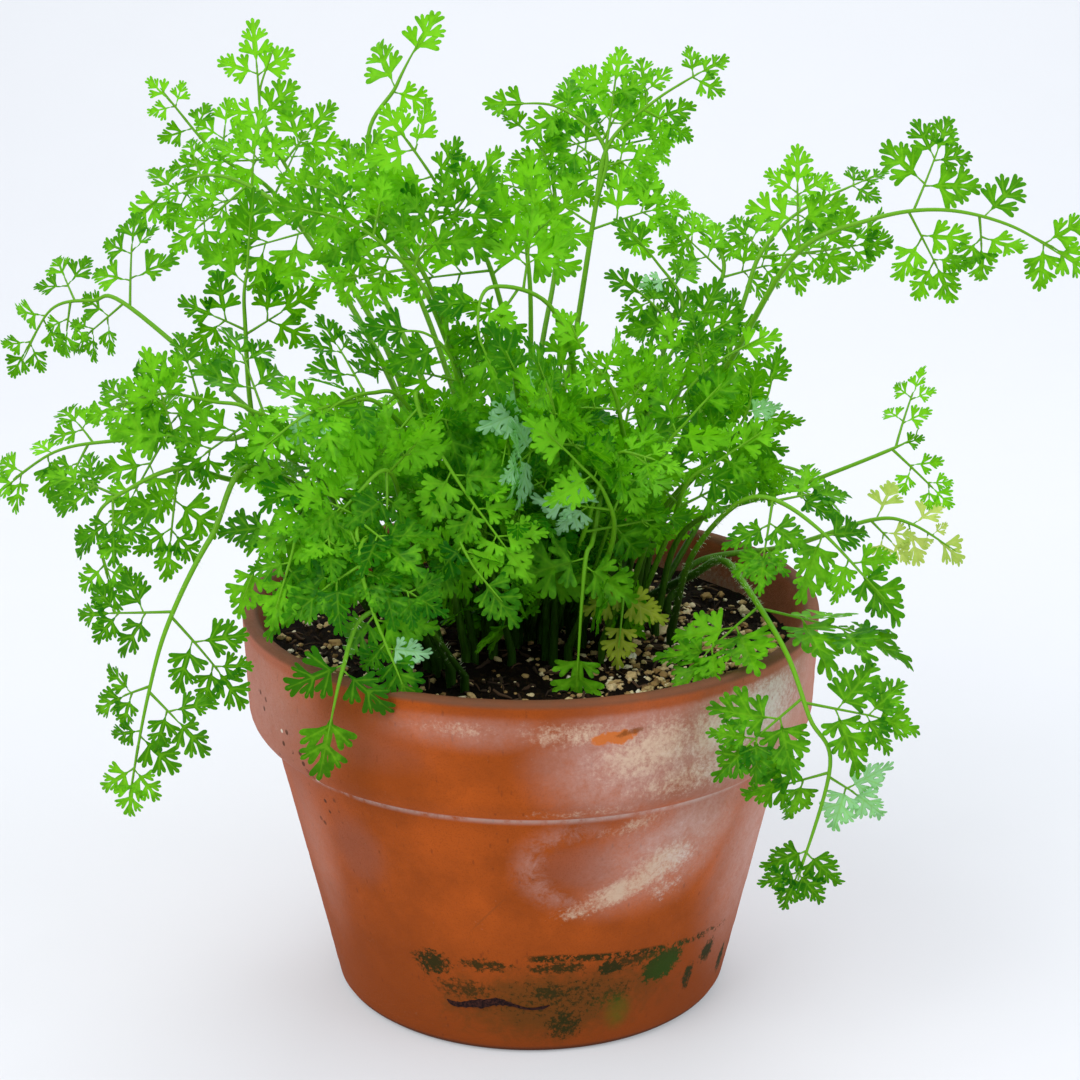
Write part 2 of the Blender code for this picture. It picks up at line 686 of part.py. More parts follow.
def fuse(frond, stalk, blade, parts):
    """Join a frond's stalk and blade in one solid."""
    union = stalk.modifiers.new("Fuse", "BOOLEAN")
    union.operation = "UNION"
    union.object = blade
    bpy.context.view_layer.update()
    mesh = evaluated_mesh(stalk, frond.name)
    for leftover in (blade, stalk):
        bpy.data.objects.remove(leftover, do_unlink=True)
    solid = bpy.data.objects.new(frond.name, mesh)
    mesh.materials.clear()
    mesh.materials.append(make_material(frond.name + "_leaf", frond.colour, 0.5))
    parts.objects.link(solid)
    return solid


def make_fronds(parts, workshop, fixed):
    paths = {frond.name: route(frond) for frond in FRONDS}
    tubes = {frond.name: stalk_object(frond, paths[frond.name], workshop) for frond in FRONDS}
    bpy.context.view_layer.update()
    tubes = {name: as_mesh_object(tube, workshop) for name, tube in tubes.items()}
    blades = settle_blades(paths, fixed)
    solids = {name: blade.make(workshop) for name, blade in blades.items()}
    for frond in FRONDS:
        fuse(frond, tubes[frond.name], solids[frond.name], parts)


def main():
    clear_scene()
    parts = make_collection("potted_chervil")
    cutters = make_collection("cutters")
    pot = make_pot(parts)
    soil = make_soil(parts, cutters)
    bpy.context.view_layer.update()
    outsides = [polygons_of(evaluated_mesh(solid, solid.name + "_outside")) for solid in (pot, soil)]
    make_fronds(parts, cutters, outsides)


main()
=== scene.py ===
"""Potted chervil, the looks: leafy fronds, terracotta pot, potting mix and the stage they stand on.

Laid out as a Blender add-on and run as a script. Metres, +Z up, in the frame of the CAD model.
"""
import math
import random
from dataclasses import dataclass

import bmesh
import bpy
import numpy as np
from bpy.props import FloatProperty, FloatVectorProperty, IntProperty
from mathutils import Matrix, Vector, geometry, noise
from mathutils.bvhtree import BVHTree


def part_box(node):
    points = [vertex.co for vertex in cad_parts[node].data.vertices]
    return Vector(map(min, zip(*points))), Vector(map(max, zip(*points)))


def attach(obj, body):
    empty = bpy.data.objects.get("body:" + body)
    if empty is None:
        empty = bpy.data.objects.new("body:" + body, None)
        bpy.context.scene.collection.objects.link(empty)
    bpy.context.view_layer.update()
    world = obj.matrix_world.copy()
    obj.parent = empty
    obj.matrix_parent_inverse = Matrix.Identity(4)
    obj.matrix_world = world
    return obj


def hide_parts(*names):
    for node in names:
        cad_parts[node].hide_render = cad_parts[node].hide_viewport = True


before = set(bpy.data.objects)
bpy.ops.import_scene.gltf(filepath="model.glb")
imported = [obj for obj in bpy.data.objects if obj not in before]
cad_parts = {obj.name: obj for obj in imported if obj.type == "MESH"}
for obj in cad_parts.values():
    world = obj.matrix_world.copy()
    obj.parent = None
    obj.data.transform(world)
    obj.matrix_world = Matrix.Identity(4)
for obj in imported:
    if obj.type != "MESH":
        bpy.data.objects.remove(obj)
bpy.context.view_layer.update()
POT_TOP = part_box("pot")[1].z

bl_info = {
    "name": "Potted Chervil",
    "version": (1, 0, 0),
    "blender": (4, 5, 0),
    "location": "3D View > Sidebar > Chervil",
    "description": "Dresses the CAD model of a chervil plant in a terracotta pot",
    "category": "Object",
}

MM = 0.001

# Pot, as in the CAD model
RIM_RADIUS = 0.078
LIP_WIDTH = 0.0042
COLLAR_LOW_RADIUS = 0.0768
COLLAR_LOW_HEIGHT = 0.0826
NECK_RADIUS = 0.0708
NECK_HEIGHT = 0.0754
FOOT_RADIUS = 0.0536
WALL = 0.0055
FLOOR = 0.008
DRAIN_RADIUS = 0.0105

# Soil, as in the CAD model
SOIL_HEIGHT = 0.097
SOIL_RELIEF = 0.0013
SOIL_LUMP = 0.009

# Fronds, as in the CAD model
ROOTED = 0.012
COLLAR_RISE = 0.004
COARSE_STEPS = 2
FINE_STEPS = 10
RIB = 0.00065
NODE_RATIO = 0.58
PINNA_ANGLE = 63.0
PINNA_ROOM = 1.6
DROOP = 10.0
TIP_LEAFLET = 0.27
TIP_LEAFLET_RANGE = (0.0075, 0.0145)
TURNS = ((0, 0), (14, 0), (-14, 0), (0, 18), (0, -18), (28, 0), (-28, 0), (20, 20), (-20, -20),
         (42, 0), (-42, 0), (35, 25), (-35, -25), (56, 0), (-56, 0))
LENGTHS = (1.0, 0.8, 0.62, 0.45)
FOUND_WITHIN = 0.0007

# Fronds, the looks
# The share of pinnae painted pale blue-green, partly as paler undersides and partly as a painted glossy
# sheen, in two fronds and in all others.
UNDERSIDE_AND_SHEEN_SHARE = {"centre_glossy": 0.5, "right_hook": 0.15}
UNDERSIDE_AND_SHEEN_SHARE_ELSEWHERE = 0.01
UNDERSIDE_AND_SHEEN_TONE = 1.6
# How many hairs a frond's bare stalk has.
HAIRS = {"right_hook": 320, "right_front_high": 120, "left_hanging": 90, "rim_sprig": 90,
         "front_left_big": 90}
# Radius of a stalk at its root, partway up, at its first pinnae, at its tip leaflet and at its tip.
STALK_RADII = (1.2 * MM, 0.85 * MM, 0.56 * MM, 0.31 * MM, 0.15 * MM)
STALK_SIDES = 12
# A pinna shorter than this is one leaflet.
SINGLE_LEAFLET = {"fine": 0.0135, "middle": 0.0135, "broad": 0.0155}
# A pinna this long has two pairs of leaflets, and a shorter one has one. A pair has its place along
# the pinna, its size and its angle. The last two numbers are the place and size of the end leaflet.
TWO_PAIRS_FROM = 0.020
TWO_PAIRS = (((0.31, 0.49, 61), (0.61, 0.38, 53)), 0.64, 0.46)
ONE_PAIR = (((0.36, 0.58, 58),), 0.46, 0.66)


@dataclass
class Frond:
    """One frond, in millimetres, as in the CAD model, and how its leaflets look.

    cut is the kind of leaflet, tone how light its green is, and lush how large its leaflets are.
    shrink is the length of each pair of pinnae in parts of the one before, and leaf its finish.
    """
    name: str
    foot: tuple
    route: tuple
    leafy: float
    span: float
    pairs: int
    face: tuple
    cut: str
    tone: float
    lush: float
    shrink: float = 0.62
    leaf: str = "leaf"


FRONDS = (
    Frond("left_hanging", (-34, -24),
          ((-66, -50, 160), (-78, -64, 147), (-88, -72, 128), (-93, -78, 111), (-98, -82, 87)),
          46, 33, 3, (-2, -9, 3), "middle", -0.25, 1.1),
    Frond("left_low", (-30, -12),
          ((-62, -28, 151), (-75, -38, 154), (-87, -44, 159), (-99, -52, 156),
           (-107, -56, 149), (-103, -60, 132)),
          44, 30, 3, (-3, -9, 4), "middle", -0.35, 1.1),
    Frond("left_reach", (-36, 0),
          ((-65, -8, 153), (-80, -8, 156), (-96, -9, 156), (-110, -10, 156),
           (-125, -10, 153), (-139, -10, 143)),
          47, 32, 3, (-1, -7, 7), "middle", -0.1, 1.1),
    Frond("left_crown", (-28, -19),
          ((-58, -36, 161), (-70, -40, 173), (-79, -40, 175), (-92, -40, 177), (-106, -38, 172)),
          41, 30, 3, (0, -8, 6), "middle", -0.35, 1.2),
    Frond("left_diagonal", (-20, 13),
          ((-55, 14, 138), (-71, 22, 150), (-111, 40, 180), (-122, 44, 181),
           (-134, 46, 178), (-143, 46, 163)),
          42, 28, 3, (0, -9, 3), "fine", -0.1, 1.15),
    Frond("left_upright", (-16, 6),
          ((-55, 10, 128), (-73, 10, 148), (-76, 10, 185), (-75, 12, 198), (-74, 14, 211)),
          32, 23, 2, (0, -9, 3), "middle", -0.35, 1.3),
    Frond("back_left_high", (-8, 25),
          ((-28, 40, 153), (-41, 52, 179), (-55, 58, 199), (-68, 62, 214), (-76, 66, 232), (-72, 68, 247)),
          56, 34, 3, (0, -9, 4), "middle", 0.3, 1.15),
    Frond("back_left_far", (-17, 25),
          ((-37, 40, 154), (-57, 59, 186), (-74, 70, 207), (-90, 74, 217), (-105, 76, 235)),
          44, 28, 3, (0, -9, 4), "fine", 0.0, 1.0),
    Frond("back_left_side", (-24, 18),
          ((-36, 28, 162), (-58, 46, 196), (-78, 54, 211), (-94, 58, 213), (-111, 60, 202)),
          37, 26, 3, (0, -8, 6), "middle", 0.1, 1.1),
    Frond("tall_thin", (-4, 32),
          ((-26, 52, 165), (-46, 70, 216), (-38, 76, 236), (-31, 80, 249)),
          17, 12, 1, (0, -9, 4), "middle", 0.3, 1.45),
    Frond("centre_left", (-6, 0),
          ((-3, -6, 161), (-10, -12, 202), (-19, -16, 215), (-24, -20, 227), (-32, -26, 240)),
          47, 34, 3, (-2, -8, 6), "middle", 0.25, 1.25),
    Frond("centre_left_side", (-12, -5),
          ((-16, -10, 162), (-25, -18, 198), (-34, -22, 213), (-45, -26, 223), (-56, -30, 228)),
          37, 27, 3, (-2, -8, 5), "middle", 0.1, 1.25),
    Frond("middle_sprig", (0, 8),
          ((0, 8, 157), (0, 10, 189), (-1, 12, 203), (-1, 12, 212), (0, 12, 222)),
          19, 12, 2, (0, -9, 3), "middle", 0.3, 1.3),
    Frond("back_tall", (6, 30),
          ((8, 52, 144), (12, 60, 163), (18, 70, 200), (22, 76, 223), (24, 80, 238)),
          44, 35, 2, (0, -9, 4), "middle", 0.25, 1.3, shrink=0.95),
    Frond("back_tall_left", (2, 41),
          ((2, 54, 155), (7, 68, 187), (5, 78, 213), (-7, 84, 227)),
          30, 24, 2, (0, -9, 4), "middle", -0.05, 1.0),
    Frond("right_arch", (18, 22),
          ((44, 30, 148), (56, 26, 171), (71, 18, 200), (90, 14, 210), (108, 12, 213),
           (126, 12, 209), (142, 12, 200)),
          77, 33, 3, (0, -10, 1), "middle", 0.05, 1.2, shrink=0.85),
    Frond("right_back_inner", (14, 30),
          ((39, 53, 145), (50, 62, 172), (55, 68, 187), (45, 74, 197), (31, 78, 206)),
          37, 27, 3, (0, -6, 8), "middle", 0.0, 1.1),
    Frond("right_back_outer", (22, 28),
          ((50, 47, 150), (60, 55, 178), (65, 60, 191), (76, 68, 201), (97, 74, 210)),
          41, 24, 3, (0, -6, 8), "middle", 0.0, 1.1),
    Frond("right_back_dark", (10, 22),
          ((30, 30, 148), (38, 40, 171), (42, 44, 181), (35, 48, 191), (27, 50, 200)),
          32, 25, 2, (0, -7, 7), "middle", -0.5, 1.15),
    Frond("right_middle", (24, 8),
          ((30, 8, 128), (37, 6, 154), (42, 4, 166), (50, 4, 174), (62, 4, 181)),
          34, 25, 3, (2, -8, 6), "middle", 0.1, 1.1),
    Frond("right_middle_low", (29, 3),
          ((35, 2, 130), (50, -6, 152), (58, -8, 161), (62, -10, 169), (63, -10, 178)),
          29, 23, 2, (1, -8, 5), "broad", -0.2, 1.15),
    Frond("right_fine", (34, 3),
          ((42, 2, 128), (70, -6, 142), (97, -13, 156), (101, -15, 161)),
          10, 28, 1, (0, -9, 4), "fine", 0.2, 0.8),
    Frond("right_pale", (38, 19),
          ((47, 22, 112), (72, 26, 115), (95, 28, 122), (106, 28, 121), (119, 28, 113)),
          26, 16, 3, (0, -8, 5), "fine", 0.2, 1.2, leaf="pale_leaf"),
    Frond("right_front_high", (38, -4),
          ((42, -20, 127), (52, -32, 145), (61, -38, 149), (73, -46, 143), (89, -52, 127)),
          38, 25, 3, (2, -8, 6), "broad", -0.2, 1.25),
    Frond("right_hook", (31, 20),
          ((44, 7, 113), (51, -7, 122), (56, -24, 121), (64, -58, 115), (69, -72, 103),
           (74, -76, 92), (67, -76, 61)),
          86, 37, 3, (1, -9, 3), "broad", -0.15, 1.3, shrink=0.75),
    Frond("front_leaf", (12, -6),
          ((18, -20, 143), (16, -30, 135), (14, -34, 130), (12, -40, 101)),
          30, 14, 1, (0, -9, 3), "broad", 0.0, 1.5),
    Frond("front_yellow", (19, -14),
          ((24, -22, 119), (24, -27, 116), (23, -31, 106)),
          14, 10, 1, (0, -8, 4), "broad", 0.4, 1.25, leaf="yellow_leaf"),
    Frond("rim_sprig", (-17, -38),
          ((-29, -60, 126), (-41, -65, 127), (-46, -69, 115), (-50, -72, 98)),
          18, 13, 1, (0, -9, 2), "middle", -0.35, 1.6),
    Frond("front_left_big", (-21, -31),
          ((-37, -43, 142), (-43, -52, 146), (-40, -57, 135), (-33, -59, 118)),
          34, 27, 2, (0, -9, 4), "broad", 0.05, 1.3),
    Frond("centre_drop", (-10, -13),
          ((-16, -14, 141), (-28, -28, 173), (-27, -33, 168), (-18, -40, 154), (-5, -46, 137)),
          43, 25, 3, (0, -9, 4), "broad", 0.25, 1.35),
    Frond("centre_arch", (-15, -17),
          ((-24, -18, 151), (-33, -23, 171), (-40, -28, 174), (-48, -38, 174), (-56, -46, 169)),
          34, 25, 3, (0, -7, 7), "middle", 0.1, 1.15),
    Frond("front_left_inner", (-23, -23),
          ((-32, -33, 143), (-36, -40, 157), (-44, -47, 152), (-57, -54, 138)),
          33, 24, 3, (0, -8, 5), "broad", -0.25, 1.2),
    Frond("front_left_outer", (-27, -27),
          ((-43, -36, 144), (-55, -46, 154), (-62, -53, 151), (-66, -57, 142), (-71, -60, 130)),
          32, 25, 2, (-1, -8, 5), "broad", -0.1, 1.2),
    Frond("front_centre", (-5, -21),
          ((-12, -28, 134), (-17, -35, 141), (-18, -42, 140), (-14, -48, 134), (-7, -51, 126)),
          29, 22, 2, (0, -9, 4), "broad", -0.35, 1.35),
    Frond("centre_arch_high", (3, -4),
          ((12, -6, 161), (6, -14, 192), (-10, -22, 200), (-13, -28, 190), (-8, -32, 179)),
          34, 26, 2, (0, -9, 4), "middle", 0.1, 1.25),
    Frond("centre_leaf_left", (-4, -9),
          ((-11, -14, 152), (-18, -21, 174), (-21, -25, 184), (-27, -29, 190), (-36, -33, 191)),
          30, 24, 2, (0, -8, 5), "middle", -0.1, 1.25),
    Frond("centre_glossy", (4, -15),
          ((4, -24, 150), (1, -30, 165), (-1, -34, 175), (-6, -36, 187)),
          30, 22, 2, (0, -5, 9), "broad", -0.1, 1.4),
    Frond("centre_right_high", (14, -3),
          ((27, -14, 147), (24, -20, 161), (21, -24, 174), (14, -28, 184), (10, -30, 193)),
          30, 24, 2, (0, -8, 5), "middle", 0.1, 1.15),
    Frond("centre_right_side", (23, -8),
          ((32, -20, 138), (34, -28, 158), (40, -32, 168), (48, -34, 178)),
          32, 25, 2, (1, -8, 5), "middle", 0.05, 1.15),
    Frond("centre_right_low", (10, -17),
          ((21, -30, 134), (19, -38, 150), (12, -43, 160), (4, -46, 169)),
          32, 25, 2, (0, -8, 5), "broad", 0.05, 1.25),
    Frond("rear_left", (-24, 30),
          ((-46, 52, 136), (-56, 64, 142), (-68, 75, 136), (-80, 83, 118)),
          43, 26, 2, (-3, 6, 8), "middle", 0.0, 1.05),
    Frond("rear_centre", (-7, 43),
          ((-9, 60, 142), (-10, 68, 146), (-12, 78, 140), (-14, 86, 122)),
          38, 26, 2, (0, 6, 8), "middle", 0.0, 1.05),
    Frond("rear_right", (26, 34),
          ((40, 54, 138), (46, 64, 142), (54, 76, 134), (60, 84, 114)),
          40, 26, 2, (3, 6, 8), "middle", 0.05, 1.05),
    Frond("rear_side", (36, 27),
          ((54, 40, 128), (64, 46, 132), (78, 54, 128), (90, 60, 114)),
          36, 22, 2, (6, 3, 8), "middle", 0.05, 1.05),
)

# Large fronds that have another one close beside them.
BESIDE = ("centre_left_side", "right_back_dark", "right_middle", "right_middle_low",
          "front_left_big", "centre_arch", "front_left_inner", "front_left_outer", "centre_glossy",
          "centre_right_side")

# The spreading crown of the tall frond at the back.
CROWN_FRONDS = (
    Frond("crown_left", (6, 30),
          ((8, 52, 144), (12, 60, 163), (18, 70, 200), (21, 75, 218), (8, 79, 229), (-7, 80, 230)),
          30, 17, 2, (0, -9, 4), "middle", 0.25, 1.3),
    Frond("crown_right", (6, 30),
          ((8, 52, 144), (12, 60, 163), (18, 70, 200), (22, 75, 219), (35, 78, 231), (50, 80, 240)),
          36, 22, 2, (0, -9, 4), "middle", 0.25, 1.3),
)


# Leaflets are unions of lobes. A lobe has its place on the midrib, its angle, length, width and teeth.
# A cut has its side lobes, its end lobe, which has no angle, and half the width along its midrib.
LEAFLET_CUTS = {
    "fine": (((0.25, 51, 0.49, 0.45, 3), (0.50, 35, 0.35, 0.40, 2)), (0.53, 0.47, 0.45, 3), 0.035),
    "middle": (((0.17, 57, 0.48, 0.50, 3), (0.43, 42, 0.42, 0.46, 3)), (0.55, 0.45, 0.48, 3), 0.06),
    "broad": (((0.10, 64, 0.42, 0.53, 3), (0.30, 52, 0.46, 0.49, 3), (0.50, 38, 0.35, 0.44, 2)),
              (0.60, 0.40, 0.49, 3), 0.10),
}
LEAFLETS_PER_CUT = 5


class Reading:
    """A value in a node tree. Sums on it add Math nodes."""

    def __init__(self, finish, socket):
        self.finish = finish
        self.socket = socket

    def __add__(self, other):
        return self.finish.math("ADD", self, other)

    def __sub__(self, other):
        return self.finish.math("SUBTRACT", self, other)

    def __rsub__(self, other):
        return self.finish.math("SUBTRACT", other, self)

    def __mul__(self, other):
        return self.finish.math("MULTIPLY", self, other)

    def __truediv__(self, other):
        return self.finish.math("DIVIDE", self, other)

    def __rtruediv__(self, other):
        return self.finish.math("DIVIDE", other, self)

    def __pow__(self, other):
        return self.finish.math("POWER", self, other)

    def __abs__(self):
        return self.finish.math("ABSOLUTE", self)

    __radd__ = __add__
    __rmul__ = __mul__

    def least(self, other):
        return self.finish.math("MINIMUM", self, other)

    def most(self, other):
        return self.finish.math("MAXIMUM", self, other)

    def rise(self, low, high):
        """0 below low, 1 above high and smooth between. With low above high it falls instead."""
        if low > high:
            return 1 - self.rise(high, low)
        return self.finish.node("ShaderNodeMapRange", {"interpolation_type": "SMOOTHSTEP"},
                                {0: self, 1: low, 2: high, 3: 0.0, 4: 1.0})


class Finish:
    """A material, and the ways to add nodes to it. Colours are tuples of three numbers."""

    def __init__(self, name):
        self.material = bpy.data.materials.new(name)
        self.material.use_nodes = True
        self.tree = self.material.node_tree
        self.tree.nodes.clear()

    def node(self, kind, settings, sockets, output=0):
        """A node of one kind: its settings first, then its sockets' values or links."""
        node = self.tree.nodes.new(kind)
        for name, value in settings.items():
            if name == "stops":
                self.set_stops(node.color_ramp, value)
            else:
                setattr(node, name, value)
        for key, value in sockets.items():
            socket = node.inputs[key]
            if isinstance(value, Reading):
                self.tree.links.new(value.socket, socket)
            else:
                socket.default_value = (*value, 1.0) if socket.type == "RGBA" else value
        return Reading(self, node.outputs[output])

    def set_stops(self, ramp, stops):
        while len(ramp.elements) < len(stops):
            ramp.elements.new(0.5)
        for element, (position, colour) in zip(ramp.elements, stops):
            element.position = position
            element.color = (*colour, 1.0)

    def math(self, operation, *values):
        return self.node("ShaderNodeMath", {"operation": operation}, dict(enumerate(values)))

    def place(self):
        """Where a point is on the piece, which is its place in the frame too."""
        return self.node("ShaderNodeTexCoord", {}, {}, "Object")

    def parts_of(self, vector):
        return [self.node("ShaderNodeSeparateXYZ", {}, {0: vector}, axis) for axis in range(3)]

    def stretched(self, vector, scale):
        return self.node("ShaderNodeVectorMath", {"operation": "MULTIPLY"}, {0: vector, 1: scale})

    def grain(self, vector, scale, detail=3.0, roughness=0.55, distortion=0.0):
        """Noise about 0.5, with scale waves in a metre."""
        return self.node("ShaderNodeTexNoise", {}, {"Vector": vector, "Scale": scale, "Detail": detail,
                                                    "Roughness": roughness, "Distortion": distortion})

    def cells(self, vector, scale):
        """Distance to the nearest of many scattered points, in parts of their spacing."""
        return self.node("ShaderNodeTexVoronoi", {}, {"Vector": vector, "Scale": scale}, "Distance")

    def written(self, name):
        """A number that the mesh holds for each corner."""
        return self.node("ShaderNodeAttribute", {"attribute_name": name}, {}, "Fac")

    def blend(self, share, first, second):
        """The first colour where share is 0 and the second where it is 1."""
        return self.node("ShaderNodeMix", {"data_type": "RGBA"}, {0: share, 6: first, 7: second}, 2)

    def bump(self, height, distance, strength):
        sockets = {"Height": height, "Distance": distance, "Strength": strength}
        return self.node("ShaderNodeBump", {}, sockets)

    def surface(self, colour, roughness, shine, **sockets):
        named = {name.replace("_", " "): value for name, value in sockets.items()}
        return self.node("ShaderNodeBsdfPrincipled", {}, {
            "Base Color": colour, "Roughness": roughness, "Specular IOR Level": shine, **named})

    def lit_through(self, surface, glow, share):
        """A surface mixed with a share of the light that comes through it."""
        light = self.node("ShaderNodeBsdfTranslucent", {}, {"Color": glow})
        return self.node("ShaderNodeMixShader", {}, {0: share, 1: surface, 2: light})

    def show(self, shader):
        output = self.tree.nodes.new("ShaderNodeOutputMaterial")
        self.tree.links.new(shader.socket, output.inputs["Surface"])
        return self.material


class Shape:
    """Corners, triangles, finishes and written numbers gathered for one piece."""

    def __init__(self):
        self.corners = []
        self.triangles = []
        self.finishes = []
        self.numbers = {}
        self.count = 0

    def add(self, corners, triangles, finish=0, **numbers):
        corners = np.asarray(corners, float).reshape(-1, 3)
        triangles = np.asarray(triangles, int).reshape(-1, 3)
        self.corners.append(corners)
        self.triangles.append(triangles + self.count)
        self.finishes.append(np.full(len(triangles), finish))
        for name, values in numbers.items():
            span = np.broadcast_to(values, len(corners))
            self.numbers.setdefault(name, []).append((self.count, span))
        self.count += len(corners)
        return self

    def piece(self, name, *materials):
        """The gathered shape as one smooth object."""
        mesh = bpy.data.meshes.new(name)
        triangles = np.vstack(self.triangles)
        mesh.vertices.add(self.count)
        mesh.vertices.foreach_set("co", np.vstack(self.corners).ravel())
        mesh.loops.add(triangles.size)
        mesh.loops.foreach_set("vertex_index", triangles.ravel().astype(np.int32))
        mesh.polygons.add(len(triangles))
        mesh.polygons.foreach_set("loop_start", np.arange(0, triangles.size, 3, dtype=np.int32))
        mesh.polygons.foreach_set("material_index", np.concatenate(self.finishes).astype(np.int32))
        mesh.polygons.foreach_set("use_smooth", np.full(len(triangles), True))
        for number, spans in self.numbers.items():
            values = np.zeros(self.count, np.float32)
            for start, span in spans:
                values[start:start + len(span)] = span
            mesh.attributes.new(number, "FLOAT", "POINT").data.foreach_set("value", values)
        for material in materials:
            mesh.materials.append(material)
        mesh.update(calc_edges=True)
        mesh.validate()
        piece = bpy.data.objects.new(name, mesh)
        bpy.context.scene.collection.objects.link(piece)
        return piece


def placed(piece, *nodes, slot=None):
    """Let a piece ride on the plant's one body, in place of CAD nodes or beside them."""
    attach(piece, "root")
    if nodes:
        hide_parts(*nodes)


def grid_triangles(rows, columns, closed=True):
    """Triangles of a grid of corners, row by row, joined round where it is closed."""
    row = np.arange(rows - 1)[:, None] * columns
    column = np.arange(columns if closed else columns - 1)[None, :]
    after = (column + 1) % columns
    quad = np.stack([row + column, row + after, row + columns + after, row + columns + column], -1)
    quad = quad.reshape(-1, 4)
    return np.vstack([quad[:, [0, 1, 2]], quad[:, [0, 2, 3]]])


def tube(points, radii, sides, ridges=0, ridge=0.0):
    """A round tube along points, with a closed tip. It may have some ridges along it."""
    points = np.asarray(points, float)
    radii = np.asarray(radii, float)
    tangents = np.gradient(points, axis=0)
    tangents /= np.linalg.norm(tangents, axis=1)[:, None]
    side = np.cross(tangents[0], (0.0, 0.0, 1.0) if abs(tangents[0][2]) < 0.9 else (0.0, 1.0, 0.0))
    turn = np.arange(sides) * math.tau / sides
    swell = 1.0 + ridge * np.cos(ridges * turn)
    rings = []
    for point, tangent, radius in zip(points, tangents, radii):
        side = side - tangent * side.dot(tangent)
        side /= np.linalg.norm(side)
        other = np.cross(tangent, side)
        rings.append(point + radius * swell[:, None] * (np.cos(turn)[:, None] * side
                                                        + np.sin(turn)[:, None] * other))
    tip = points[-1] + tangents[-1] * radii[-1]
    last = (len(points) - 1) * sides
    cap = [(last + i, last + (i + 1) % sides, len(points) * sides) for i in range(sides)]
    return np.vstack([*rings, tip]), np.vstack([grid_triangles(len(points), sides), cap])


def through(points, steps):
    """Points on a smooth curve through the given points, with some steps between each two."""
    ends = [2 * points[0] - points[1]] + points + [2 * points[-1] - points[-2]]
    smooth = []
    for before, start, stop, after in zip(ends, ends[1:], ends[2:], ends[3:]):
        for step in range(steps):
            t = step / steps
            smooth.append(0.5 * (2 * start + (stop - before) * t
                                 + (2 * before - 5 * start + 4 * stop - after) * t * t
                                 + (3 * start - before - 3 * stop + after) * t ** 3))
    smooth.append(points[-1])
    return smooth


def lengths_of(path):
    return [(stop - start).length for start, stop in zip(path, path[1:])]


